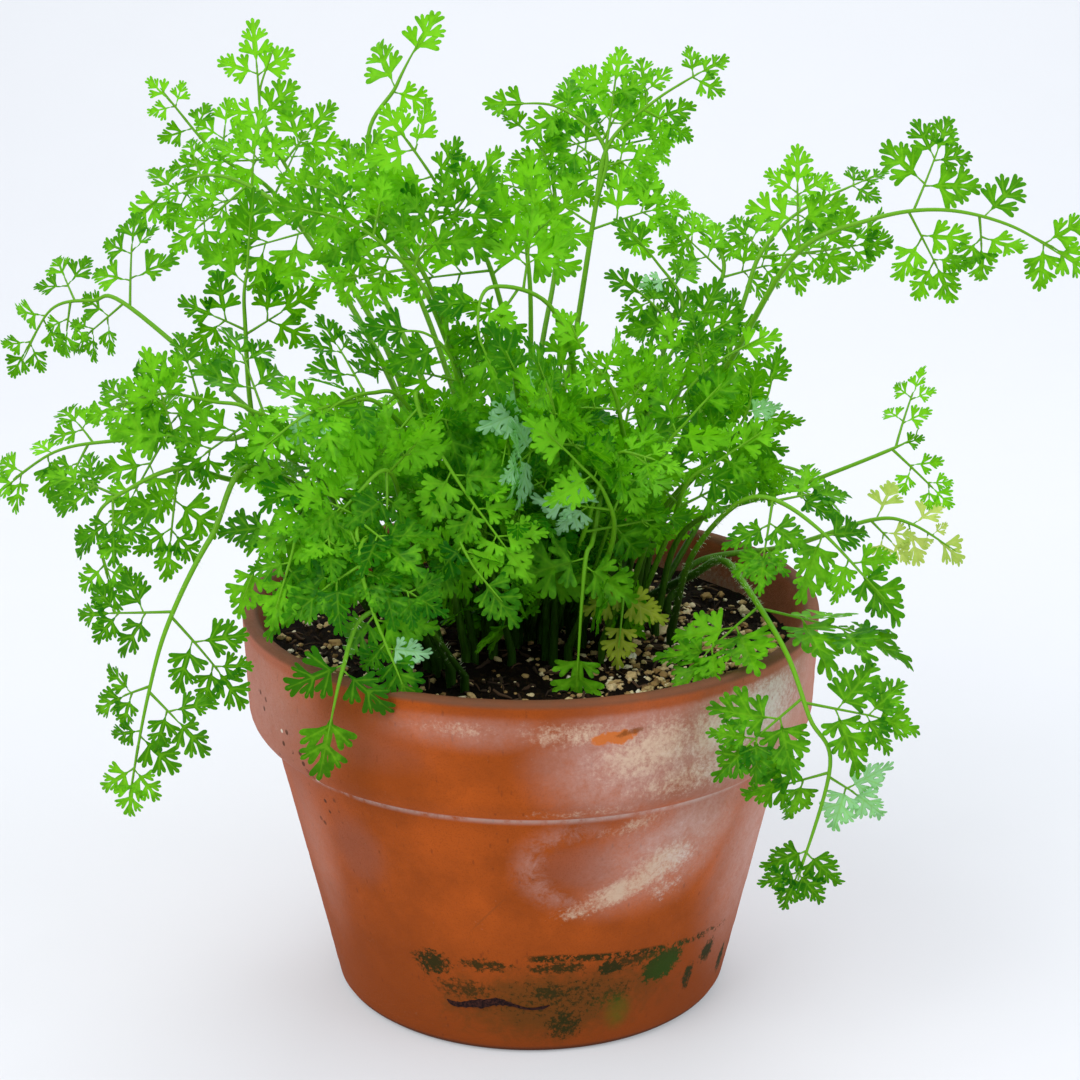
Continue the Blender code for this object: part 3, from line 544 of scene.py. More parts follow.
class Template:
    """A flat leaflet of length 1 from the origin along x, in triangles.

    vein is 1 on its veins and edge is 1 on its margin, and both are 0 elsewhere. lift is how far
    each corner stands off the plane of the leaflet.
    """
    # The midrib, the vein of a side lobe and spots in the flesh beside it, in parts of their length.
    MIDRIB = ((0.0, 0.0), (0.25, 0.0), (0.5, 0.0), (0.72, 0.0), (0.93, 0.0))
    SIDE_VEIN = ((0.02, 0.0), (0.35, 0.0), (0.62, 0.0), (0.86, 0.0))
    SIDE_FLESH = ((0.30, 0.14), (0.30, -0.14), (0.62, 0.17), (0.62, -0.17))
    # The strip along the midrib: places along it and parts of its half width.
    STRIP = ((0.07, 0.3), (0.16, 0.8), (0.32, 1.0), (0.55, 0.9), (0.72, 0.6))
    # How far the teeth of a lobe fan out, by their number.
    TEETH_SPREAD = {2: 26, 3: 42}
    # Corners of a tooth, as turns from its middle and parts of its size, and the notch between two.
    TOOTH = ((0.68, 0.84), (0.22, 1.0), (-0.22, 1.0), (-0.68, 0.84))
    NOTCH = 0.50
    FAN = 0.54
    SAME_SPOT = 0.0005

    def __init__(self, cut, draw):
        lobes, (start, length, width, teeth), half = LEAFLET_CUTS[cut]
        upper = [(0.0, 0.012)] + [(u, v * half) for u, v in self.STRIP]
        outlines = [upper + [(0.86, 0.0)] + [(u, -v) for u, v in reversed(upper)]]
        veins, flesh = [list(self.MIDRIB)], []
        for place, angle, size, breadth, side_teeth in lobes:
            for side in (1, -1):
                spot = place + draw.uniform(-0.025, 0.025)
                lean = side * math.radians(angle + draw.uniform(-6, 6))
                reach = size * draw.uniform(0.88, 1.08)
                corners = self.lobe(breadth * draw.uniform(0.9, 1.1), side_teeth, draw)
                outlines.append(self.on_leaflet(spot, lean, reach, corners))
                veins.append(self.on_leaflet(spot, lean, reach, self.SIDE_VEIN))
                flesh += self.on_leaflet(spot, lean, reach, self.SIDE_FLESH)
        outlines.append(self.on_leaflet(start, 0.0, length, self.lobe(width, teeth, draw)))
        self.weave(outlines, veins, flesh)

    def on_leaflet(self, start, lean, length, spots):
        """Spots along and beside a lobe of length 1, where the lobe stands on the midrib."""
        return [(start + length * (t * math.cos(lean) - w * math.sin(lean)),
                 length * (t * math.sin(lean) + w * math.cos(lean))) for t, w in spots]

    def lobe(self, width, teeth, draw):
        """Corners of a lobe of length 1, from the midrib round its rounded teeth and back."""
        spread = math.radians(self.TEETH_SPREAD[teeth])
        half = spread / (teeth - 1)
        tips = [(spread * (1 - 2 * tooth / (teeth - 1)) + draw.uniform(-0.05, 0.05),
                 draw.uniform(0.92, 1.07)) for tooth in range(teeth)]
        turns = []
        for (angle, size), after in zip(tips, tips[1:] + [None]):
            turns += [(angle + turn * half, size * share) for turn, share in self.TOOTH]
            if after:
                turns.append(((angle + after[0]) / 2, self.NOTCH))
        fan = [(1 - self.FAN + self.FAN * share * math.cos(angle), width * share * math.sin(angle))
               for angle, share in turns]
        return [(0.0, 0.10 * width), (0.34, 0.26 * width), *fan,
                (0.30, -0.30 * width), (0.0, -0.10 * width)]

    def weave(self, outlines, veins, flesh):
        """Fill the common outline of all lobes with triangles that have edges along the veins."""
        points, faces = [], []
        for outline in outlines:
            faces.append(list(range(len(points), len(points) + len(outline))))
            points += outline[::-1]
        corners, _, triangles, _, _, homes = self.triangulated(points, [], faces)
        corners = np.array([tuple(corner) for corner in corners])
        inside = np.array([triangle for triangle, home in zip(triangles, homes) if home])
        margin = self.margin_of(inside)
        kept = np.unique(margin)
        points = [tuple(corner) for corner in corners[kept]]
        edges = [tuple(edge) for edge in np.searchsorted(kept, margin).tolist()]
        first_vein = len(points)
        for vein in veins:
            edges += [(i, i + 1) for i in range(len(points), len(points) + len(vein) - 1)]
            points += vein
        on_vein = range(first_vein, len(points))
        woven, _, triangles, origins, _, _ = self.triangulated(points + flesh, edges, [])
        self.points = np.array([tuple(corner) for corner in woven])
        triangles = np.array(triangles)
        self.triangles = triangles[self.covered(self.points[triangles].mean(axis=1), corners[inside])]
        self.vein = np.array([float(any(i in on_vein for i in origin)) for origin in origins])
        self.edge = np.zeros(len(self.points))
        self.edge[self.margin_of(self.triangles).ravel()] = 1.0
        self.vein[self.edge > 0] = 0.0
        wave = np.array([noise.noise(Vector((3.1 * u, 3.1 * v, 7.0))) for u, v in self.points])
        self.lift = 0.055 * wave * self.edge - 0.020 * self.vein + 0.03 * wave

    def triangulated(self, points, edges, faces):
        points = [Vector(point) for point in points]
        return geometry.delaunay_2d_cdt(points, edges, faces, 0, self.SAME_SPOT, True)

    def margin_of(self, triangles):
        """The edges that only one triangle has."""
        sides = np.vstack([triangles[:, [0, 1]], triangles[:, [1, 2]], triangles[:, [2, 0]]])
        ends, counts = np.unique(np.sort(sides, axis=1), axis=0, return_counts=True)
        return ends[counts == 1]

    def covered(self, spots, triangles):
        """Which spots lie in one of the triangles, whose corners are given."""
        a, b, c = (triangles[None, :, i] for i in range(3))
        spots = spots[:, None]

        def left(start, stop):
            return ((stop - start)[..., 0] * (spots - start)[..., 1]
                    - (stop - start)[..., 1] * (spots - start)[..., 0])

        turns = np.stack([left(a, b), left(b, c), left(c, a)])
        return ((turns >= 0).all(axis=0) | (turns <= 0).all(axis=0)).any(axis=1)


def leaflet_templates():
    draw = random.Random("chervil leaflets")
    return {cut: [Template(cut, draw) for _ in range(LEAFLETS_PER_CUT)] for cut in LEAFLET_CUTS}


class FrondPlan:
    """Where a frond's stalk runs and how each of its pinnae stands, as in the CAD model."""

    def __init__(self, frond, solid=None):
        self.frond = frond
        foot = Vector((frond.foot[0] * MM, frond.foot[1] * MM, SOIL_HEIGHT + COLLAR_RISE))
        self.root = Vector((foot.x, foot.y, SOIL_HEIGHT - ROOTED))
        self.fine = through([foot] + [Vector(point) * MM for point in frond.route], FINE_STEPS)
        self.coarse = [self.root] + self.fine[::FINE_STEPS // COARSE_STEPS]
        self.length = frond.leafy * MM
        self.start = sum(lengths_of(self.coarse)) - self.length
        low, high = TIP_LEAFLET_RANGE
        self.tip = min(high, max(low, TIP_LEAFLET * self.length))
        self.face = Vector(frond.face).normalized()
        self.solid = solid

    def spot(self, distance):
        """Part number and share along the coarse path, at a distance from the first pinnae."""
        distance += self.start
        for number, length in enumerate(lengths_of(self.coarse)):
            if distance <= length:
                return number, max(distance / length, 0.0)
            distance -= length
        return len(self.coarse) - 2, 1.0

    def upward(self, tangent):
        return (self.face - tangent * self.face.dot(tangent)).normalized()

    def on_curve(self, distance):
        """Where the smooth curve passes a distance from the first pinnae, and its direction there."""
        number, share = self.spot(distance)
        if number == 0:
            return self.root.lerp(self.fine[0], share), Vector((0, 0, 1))
        step = (number - 1 + share) * FINE_STEPS / COARSE_STEPS
        low = min(int(step), len(self.fine) - 2)
        start, stop = self.fine[low], self.fine[low + 1]
        return start.lerp(stop, step - low), (stop - start).normalized()

    def pinnae(self):
        """Each pinna of the CAD model that stands: its root, length, direction, lower side and face."""
        draw = random.Random("frond_" + self.frond.name)
        span = self.frond.span * MM
        for pair in range(self.frond.pairs):
            root = self.length * (1.0 - NODE_RATIO ** pair)
            room = max(self.length * NODE_RATIO ** pair * (1.0 - NODE_RATIO) * PINNA_ROOM, self.tip)
            if self.frond.pairs == 1:
                room = span
            for side in (1, -1):
                angle = math.radians(PINNA_ANGLE + draw.uniform(-4, 4))
                length = min(room, span * self.frond.shrink ** pair) * draw.uniform(0.9, 1.04)
                twist = math.radians(draw.uniform(-10, 10))
                swing = math.radians(draw.uniform(-14, 14))
                kept = self.kept_try(root + side * RIB, side, angle, length, twist, swing)
                if kept:
                    yield kept

    def kept_try(self, root, side, angle, length, twist, swing):
        """The one of the CAD model's turns and lengths whose corners lie on its solid.

        The thin leaflets need less room than the solid's blades, so a shortened pinna gets some of
        its length back. Without a solid, the first turn and the whole length are kept.
        """
        tries = []
        for scale in LENGTHS if self.solid else LENGTHS[:1]:
            for turn, roll in TURNS if self.solid else TURNS[:1]:
                axes = self.axes(root, side, angle, twist + math.radians(roll),
                                 swing + math.radians(turn))
                miss = self.miss(*axes[:3], length * scale) if self.solid else 0.0
                tries.append((miss, (root, length * (0.45 + 0.6 * scale), *axes[1:])))
        miss, kept = min(tries, key=lambda one: one[0])
        return kept if miss < FOUND_WITHIN else None

    def axes(self, root, side, angle, twist, swing):
        """Place, direction, lower side and face of a pinna on the coarse path."""
        number, share = self.spot(root)
        start, stop = self.coarse[number], self.coarse[number + 1]
        tangent = (stop - start).normalized()
        up = Matrix.Rotation(side * (swing - math.radians(DROOP)), 3, tangent) @ self.upward(tangent)
        out = up.cross(tangent) * side
        direction = math.cos(angle) * tangent + math.sin(angle) * out
        turn = Matrix.Rotation(twist, 3, direction)
        lower = turn @ (math.cos(angle) * out - math.sin(angle) * tangent)
        return start.lerp(stop, share), direction, lower, turn @ up

    def miss(self, place, direction, lower, length):
        """How far three spots of a pinna lie from the solid, at most."""
        spots = ((1.0, 0.0), (0.5, 0.2), (0.5, -0.2))
        return max(self.solid.find_nearest(place + (direction * along + lower * aside) * length)[3]
                   for along, aside in spots)


class Plant:
    """Puts stalks and leaflets of fronds in one shape."""

    def __init__(self, templates, size):
        self.templates = templates
        self.size = size

    def dress(self, shape, plan):
        """The whole frond: stalk, rachis, pinnae and the leaflet at its tip."""
        frond = plan.frond
        draw = random.Random("looks of " + frond.name)
        self.add_stalk(shape, plan)
        for root, length, *axes in plan.pinnae():
            self.add_pinna(shape, frond, plan.on_curve(root)[0], length, *axes, draw)
        place, tangent = plan.on_curve(plan.length - plan.tip)
        up = plan.upward(tangent)
        length = plan.tip * 1.25 * math.sqrt(frond.lush)
        self.add_pinna(shape, frond, place, length, tangent, up.cross(tangent), up, draw)

    def add_stalk(self, shape, plan):
        """A ribbed stalk, thickest where it leaves the soil. Its vein number rises from 0 to 1."""
        points = [plan.root] + plan.fine
        lengths = np.cumsum([0.0] + lengths_of(points))
        whole = lengths[-1]
        bare = whole - plan.length
        thick = np.interp(lengths, (0.0, 0.4 * bare, bare, whole - plan.tip, whole), STALK_RADII)
        thick = thick * (0.85 + plan.frond.leafy / 200)
        near_soil = np.exp(-np.abs(lengths - ROOTED) / (2.5 * MM)) * 0.5 * MM
        # high is 0 at the soil and rises up the bare stalk; its dark end near the soil is painted shade.
        high = np.repeat(np.clip((lengths - ROOTED) / (0.9 * bare), 0.0, 1.0), STALK_SIDES)
        shape.add(*tube(points, thick + near_soil, STALK_SIDES, 6, 0.07), 1, tone=plan.frond.tone,
                  vein=np.append(high, 1.0), edge=0.0)

    def add_pinna(self, shape, frond, place, length, direction, lower, up, draw):
        """A pinna: leaflets in pairs on a rachis of its own, which bends down a little."""
        tone = frond.tone + draw.gauss(0, 0.28)
        # Some pinnae turn pale blue-green: paler undersides, and a painted glossy sheen.
        if draw.random() < UNDERSIDE_AND_SHEEN_SHARE.get(frond.name, UNDERSIDE_AND_SHEEN_SHARE_ELSEWHERE):
            tone = UNDERSIDE_AND_SHEEN_TONE
        if length < SINGLE_LEAFLET[frond.cut]:
            self.add_leaflet(shape, frond, place, direction, up, length * frond.lush, tone, draw)
            return
        sag = draw.uniform(0.02, 0.08)
        side_bend = draw.uniform(-0.05, 0.05)

        def on(share):
            bend = share * share * length
            return place + direction * share * length - up * sag * bend + lower * side_bend * bend

        pairs, last, end = TWO_PAIRS if length >= TWO_PAIRS_FROM else ONE_PAIR
        points = [on(share) for share in np.linspace(0.0, last + 0.03, 6)]
        shape.add(*tube(points, np.linspace(0.40, 0.25, 6) * MM, 6), 1, tone=frond.tone, vein=0.8,
                  edge=0.0)
        for share, size, angle in pairs:
            for side in (1, -1):
                lean = math.radians(angle + draw.uniform(-8, 8)) * side
                way = direction * math.cos(lean) + lower * math.sin(lean)
                face = Matrix.Rotation(math.radians(draw.uniform(-22, 22)), 3, way) @ up
                reach = size * length * frond.lush * draw.uniform(0.9, 1.1)
                self.add_leaflet(shape, frond, on(share + side * 0.012), way, face, reach, tone, draw)
        ahead = (on(last + 0.05) - on(last)).normalized()
        reach = end * length * math.sqrt(frond.lush)
        self.add_leaflet(shape, frond, on(last), ahead, up, reach, tone, draw)

    def add_leaflet(self, shape, frond, place, direction, up, length, tone, draw):
        """One leaflet on its short stalk."""
        length *= self.size
        stem = draw.uniform(0.08, 0.14) * length
        direction = (direction + Vector((0, 0, -1)) * draw.uniform(0.0, 0.16)).normalized()
        up = (up - direction * up.dot(direction)).normalized()
        up = Matrix.Rotation(math.radians(draw.uniform(-12, 12)), 3, direction) @ up
        points = [place + direction * stem * t for t in (0.0, 0.6, 1.4)]
        shape.add(*tube(points, np.array((0.32, 0.27, 0.2)) * MM, 4), 1, tone=frond.tone, vein=0.9,
                  edge=0.0)
        template = draw.choice(self.templates[frond.cut])
        across = up.cross(direction) * draw.choice((1, -1))
        u, v = template.points.T
        fold = draw.uniform(0.05, 0.30)
        droop = draw.uniform(0.02, 0.28)
        curl = draw.uniform(-0.10, 0.14)
        lift = template.lift * draw.uniform(0.7, 1.5) + fold * np.abs(v) - droop * u * u - curl * v * v
        spread = np.outer(u, direction) + np.outer(v, across) + np.outer(lift, up)
        shape.add(np.array(place + direction * stem) + (length - stem) * spread, template.triangles, 0,
                  tone=tone + draw.gauss(0, 0.14), vein=template.vein, edge=template.edge)


def hair_shape():
    """Fine hairs along the bare stalks of some fronds."""
    draw = random.Random("stalk hairs")
    shape = Shape()
    for frond in FRONDS:
        plan = FrondPlan(frond)
        bare = 0.95 * (plan.start - ROOTED)
        for _ in range(HAIRS.get(frond.name, 0)):
            place, tangent = plan.on_curve(-draw.uniform(0, bare))
            turn = Matrix.Rotation(draw.uniform(0, math.tau), 3, tangent)
            out = turn @ tangent.orthogonal().normalized()
            tip = place + out * draw.uniform(1.3, 1.9) * MM + tangent * draw.uniform(-0.1, 0.5) * MM
            shape.add(*tube([place + out * 0.5 * MM, tip], (0.055 * MM, 0.02 * MM), 3))
    return shape


def hair_finish():
    """Pale hairs, a little lighter here and there."""
    finish = Finish("stalk_hair")
    uneven = finish.grain(finish.place(), 900.0, 1.0)
    colour = finish.blend(uneven, (0.50, 0.68, 0.30), (0.80, 0.90, 0.66))
    return finish.show(finish.surface(colour, 0.5, 0.3))


def leaf_finish(name, dark, light, vein, glow, share):
    """Thin green leaf that lets light through, with paler veins. Tones over 1 are pale blue-green, partly
    paler undersides and partly a painted glossy sheen.
    """
    finish = Finish(name)
    tone = finish.written("tone")
    mottle = finish.grain(finish.place(), 240.0, 3.0, 0.65) - 0.5
    green = finish.blend((tone * 0.9 + 0.46 + mottle * 1.4).rise(0.0, 1.0), dark, light)
    # Tones over 1 blend to pale blue-green, partly for undersides and partly as a painted sheen.
    green = finish.blend(tone.rise(1.1, 1.3) * 0.75, green, (0.42, 0.72, 0.50))
    green = finish.blend(finish.written("vein").rise(0.55, 1.0) * 0.34, green, vein)
    green = finish.blend(finish.written("edge").rise(0.6, 1.0) * 0.35, green, dark)
    return finish.show(finish.lit_through(finish.surface(green, 0.46 + mottle * 0.3, 0.08), glow, share))


def stalk_finish(name, low, high):
    """Green stalk, darkened near the soil as painted shade and paler towards its tip, with fine lines
    along it.
    """
    finish = Finish(name)
    lines = finish.grain(finish.stretched(finish.place(), (1.0, 1.0, 0.12)), 2600.0, 1.0)
    height = finish.written("vein") + finish.written("tone") * 0.4 + lines * 0.5 - 0.25
    surface = finish.surface(finish.blend(height.rise(0.0, 1.0), low, high), 0.38 + lines * 0.2, 0.2)
    return finish.show(finish.lit_through(surface, (0.26, 0.56, 0.03), 0.12))


def inner_radius(height):
    """Radius of the pot's inner wall at a height."""
    low = FOOT_RADIUS - WALL
    top = RIM_RADIUS - LIP_WIDTH
    return low + (top - low) * (height - FLOOR) / (POT_TOP - FLOOR)


def outer_profile():
    """Radius and height of the pot's outside, from the lip down to the foot."""
    profile = [(RIM_RADIUS - 0.0016, POT_TOP), (RIM_RADIUS - 0.0006, POT_TOP - 0.00015),
               (RIM_RADIUS - 0.00015, POT_TOP - 0.0006), (RIM_RADIUS, POT_TOP - 0.0014)]
    profile += [(RIM_RADIUS + (COLLAR_LOW_RADIUS - RIM_RADIUS) * share,
                 POT_TOP + (COLLAR_LOW_HEIGHT - POT_TOP) * share)
                for share in np.linspace(0.08, 1.0, 12)]
    profile += [(NECK_RADIUS + (COLLAR_LOW_RADIUS - NECK_RADIUS) * math.cos(angle),
                 COLLAR_LOW_HEIGHT - (COLLAR_LOW_HEIGHT - NECK_HEIGHT) * math.sin(angle))
                for angle in np.radians(np.linspace(9, 90, 10))]
    profile += [(NECK_RADIUS + (FOOT_RADIUS - NECK_RADIUS) * share, NECK_HEIGHT * (1 - share))
                for share in np.linspace(0.02, 0.97, 34)]
    return profile + [(FOOT_RADIUS - 0.0004, 0.0008), (FOOT_RADIUS - 0.0014, 0.0)]


def inner_profile():
    """Radius and height of the rest of the pot: its base, drain hole and inside, up to the lip."""
    profile = [(radius, 0.0) for radius in (0.045, 0.035, 0.024, 0.014)]
    profile += [(DRAIN_RADIUS + 0.0006, 0.0), (DRAIN_RADIUS, 0.0006), (DRAIN_RADIUS, FLOOR - 0.0006),
                (DRAIN_RADIUS + 0.0006, FLOOR), (0.02, FLOOR), (0.033, FLOOR),
                (inner_radius(FLOOR) - 0.0028, FLOOR), (inner_radius(FLOOR + 0.0028), FLOOR + 0.0028)]
    profile += [(inner_radius(height), height) for height in np.linspace(0.02, POT_TOP - 0.0016, 22)]
    return profile + [(inner_radius(POT_TOP) + 0.0003, POT_TOP - 0.0006),
                      (inner_radius(POT_TOP) + 0.0010, POT_TOP - 0.0001)]


def pot_shape(sides):
    """The thrown pot, slightly uneven as such pots are."""
    outside = outer_profile()
    profile = outside + inner_profile()
    corners = []
    for number, (radius, height) in enumerate(profile):
        for angle in np.arange(sides) * math.tau / sides:
            x, y = math.sin(angle), -math.cos(angle)
            uneven = 0.0
            if number < len(outside) and height > 0.001:
                uneven = 0.00022 * noise.noise(Vector((x * 2.2, y * 2.2, height * 30.0)))
                uneven += 0.00009 * noise.noise(Vector((x, y, height * 420.0)))
                uneven += 0.00006 * noise.noise(Vector((x * 30, y * 30, height * 300.0)))
            corners.append(((radius + uneven) * x, (radius + uneven) * y, height))
    last = (len(profile) - 1) * sides
    lip = grid_triangles(2, sides)
    lip = np.where(lip >= sides, lip - sides, lip + last)
    return Shape().add(corners, np.vstack([grid_triangles(len(profile), sides), lip])[:, ::-1])


class PotPaint:
    """Where a point is on the wall of the pot, and the masks that its markings are made from.

    arc is the way round the wall from its front, in metres at a radius of 70 mm. The masks take
    millimetres on the wall: an oval has its arc, height, width, height across and lean in degrees.
    """

    def __init__(self, finish):
        self.place = finish.place()
        x, y, self.height = finish.parts_of(self.place)
        self.arc = finish.math("ARCTAN2", x, -1 * y) * 0.070
        # How far out to the sides, as the camera sees them, a point lies; the painted sheen is laid there.
        self.side = abs(x) / 0.076
        self.inside = self.height.rise(0.092, 0.096) * ((x * x + y * y) ** 0.5).rise(0.0754, 0.0742)
        self.coarse = finish.grain(self.place, 90.0, 4.0, 0.6, 0.4)
        self.medium = finish.grain(self.place, 420.0, 5.0, 0.65)
        self.fine = finish.grain(self.place, 2400.0, 3.0, 0.6)
        self.mottle = (finish.grain(self.place, 170.0, 9.0, 0.78, 0.5) - 0.5) * 2.4
        self.powder = (finish.grain(self.place, 900.0, 6.0, 0.75) - 0.5) * 2.4

    def reach(self, arc, height, wide, tall, lean=0.0):
        """0 in the middle of an oval and 1 on its border."""
        across = self.arc - arc * MM
        above = self.height - height * MM
        lean = math.radians(lean)
        along = (across * math.cos(lean) + above * math.sin(lean)) / (wide * MM)
        aside = (above * math.cos(lean) - across * math.sin(lean)) / (tall * MM)
        return (along * along + aside * aside) ** 0.5

    def cloud(self, *oval):
        """1 in the middle of an oval, falling to 0 at its border."""
        return self.reach(*oval).rise(1.0, 0.1)

    def clouds(self, *rows):
        """The strongest of several clouds. Each row has its strength and its oval."""
        cover = None
        for strength, *oval in rows:
            cloud = self.cloud(*oval) * strength
            cover = cover.most(cloud) if cover else cloud
        return cover

    def patch(self, *oval, ragged=1.0, soft=0.5):
        """1 inside an oval with a ragged border."""
        torn = self.reach(*oval) + (self.coarse - 0.5) * 1.6 * ragged
        torn = torn + (self.medium - 0.5) * 1.4 * ragged
        return torn.rise(1.0, 1.0 - soft)

    def band(self, low, high, soft):
        """1 between two heights."""
        return (self.height.rise((low - soft) * MM, (low + soft) * MM)
                * self.height.rise((high + soft) * MM, (high - soft) * MM))


def clay_colour(finish, paint, clay, clay_dark, clay_pink_sheen):
    """Uneven clay, pinkish at the sides as a painted sheen, and darker towards the foot."""
    shade = finish.grain(paint.place, 30.0, 5.0, 0.55) + paint.coarse * 0.3 + paint.mottle * 0.14
    shade = shade - 0.15 + paint.height.rise(0.0765, 0.081) * 0.14
    body = finish.blend(shade.rise(0.30, 0.75) * 0.7, clay, clay_dark)
    # The sides of the pot, as the camera sees them, get a painted pinkish sheen.
    away = paint.side.rise(0.52, 1.10)
    body = finish.blend(away * 0.85 + (paint.coarse - 0.5) * 0.5 * away, body, clay_pink_sheen)
    body = finish.blend(paint.height.rise(0.052, 0.006) * (1 - away * 0.6) * 0.8, body, clay_dark)
    stain = paint.clouds((1.0, -52, 57, 17, 17), (1.1, 13, 60, 17, 11), (0.7, -45, 93, 40, 12))
    stain = (stain * 1.1 + paint.mottle * 0.25).rise(0.1, 1.0) * 0.6
    body = finish.blend(stain, body, (0.30, 0.090, 0.050))
    flecks = finish.cells(finish.stretched(paint.place, (1.0, 1.0, 0.30)), 420.0).rise(0.17, 0.08)
    body = finish.blend(flecks * paint.medium.rise(0.42, 0.58) * 0.5, body, (0.16, 0.032, 0.006))
    return finish.blend((paint.fine - 0.5).rise(0.0, 0.18) * 0.38, body, clay_dark)


def bloom_cover(paint):
    """How much lime covers the clay, as a thin smoke and as a grainy crust."""
    mottle, powder = paint.mottle, paint.powder
    crust = paint.clouds(
        (1.15, 56, 96, 36, 15, 6), (0.95, 28, 94, 24, 13, 15), (0.80, 40, 85, 30, 8, 6),
        (0.75, 10, 100.5, 20, 6), (0.55, -16, 101.5, 18, 4), (1.05, 28, 51.5, 28, 6.6, 19),
        (1.00, 38, 57, 19, 10, 16), (0.75, 12, 45.5, 12, 4, 5), (0.60, 40, 49, 14, 6, 12),
        (0.70, 28, 71, 16, 4, 10), (0.45, 12, 78.5, 26, 3), (0.85, 165, 96, 45, 10),
        (0.6, -160, 60, 30, 12, 25))
    crust = (crust + mottle * 0.62 + powder * 0.85).rise(0.32, 1.25)
    ring = (abs(paint.reach(14, 60, 15, 11.5) + mottle * 0.30 - 1.0)).rise(0.45, 0.0)
    ring = ring * (mottle * 0.9 + powder * 0.3 + 0.5).rise(0.1, 1.0) * 0.55
    smoke = paint.clouds(
        (1.3, 60, 93, 58, 28), (1.15, 24, 92, 30, 24), (1.15, 42, 63, 38, 22, 18),
        (0.80, 32, 54, 27, 13, 16), (0.55, -14, 101, 30, 7), (0.50, -78, 92, 34, 30),
        (0.95, 84, 52, 36, 50), (0.35, -74, 50, 16, 34), (0.7, 160, 88, 60, 26),
        (0.5, -160, 62, 50, 30))
    smoke = smoke * (0.75 + mottle * 0.6 + powder * 0.4)
    smoke = smoke.most(ring * (paint.arc.rise(0.030, 0.004) * 0.7 + 0.3))
    below_lip = 1 - paint.band(105.0, 112, 0.9) * 0.8
    return smoke * below_lip, crust * below_lip


def moss_cover(finish, paint):
    """Where moss, algae and their brown film grow, low on the wall."""
    arc = paint.arc
    blots = finish.grain(paint.place, 760.0, 7.0, 0.76)
    level = paint.height + (arc - 0.010).most(0.0) * 0.08
    line = level.rise(0.0296, 0.0306) * level.rise(0.0328, 0.0316)
    line = line * arc.rise(-0.004, 0.004) * arc.rise(0.085, 0.070)
    green = line * (blots + paint.coarse * 0.5 + abs(arc - 0.022) * -3.0).rise(0.62, 0.72)
    for share, *oval in ((1.20, 44, 23, 14, 8.4, 12), (1.00, 25, 26.5, 9, 4.4), (1.00, 67, 20, 7, 6.5),
                         (0.95, 58, 15, 5, 8), (0.95, 82, 12, 6, 9), (0.95, -31, 27, 12, 8),
                         (0.85, -14, 28.5, 16, 4.5), (0.85, 8, 28, 18, 4), (0.80, 34, 27.5, 22, 5),
                         (0.80, 6, 20, 14, 6), (0.85, 11, 9, 13, 10), (0.75, 27, 17, 14, 8),
                         (0.75, -22, 20, 22, 7), (0.65, 175, 24, 30, 8), (0.6, -140, 18, 36, 8)):
        cover = paint.cloud(*oval) * share + (blots - 0.5) * 2.3 + paint.powder * 0.35
        green = green.most(cover.rise(0.46, 0.84) * share * 0.85)
    low = paint.clouds((1.0, 10, 18, 62, 19, 3), (1.0, 175, 22, 50, 14), (1.0, -145, 18, 60, 12))
    green = green.most(((blots - 0.5) * 2.2 + low * 0.60).rise(0.52, 0.86) * 0.70)
    smear = paint.cloud(29.5, 11, 6.5, 7.5) * (paint.medium + 0.3)
    film = (paint.cloud(8, 16, 64, 20, 2) + paint.mottle * 0.7).rise(0.20, 1.0)
    return green, smear, film


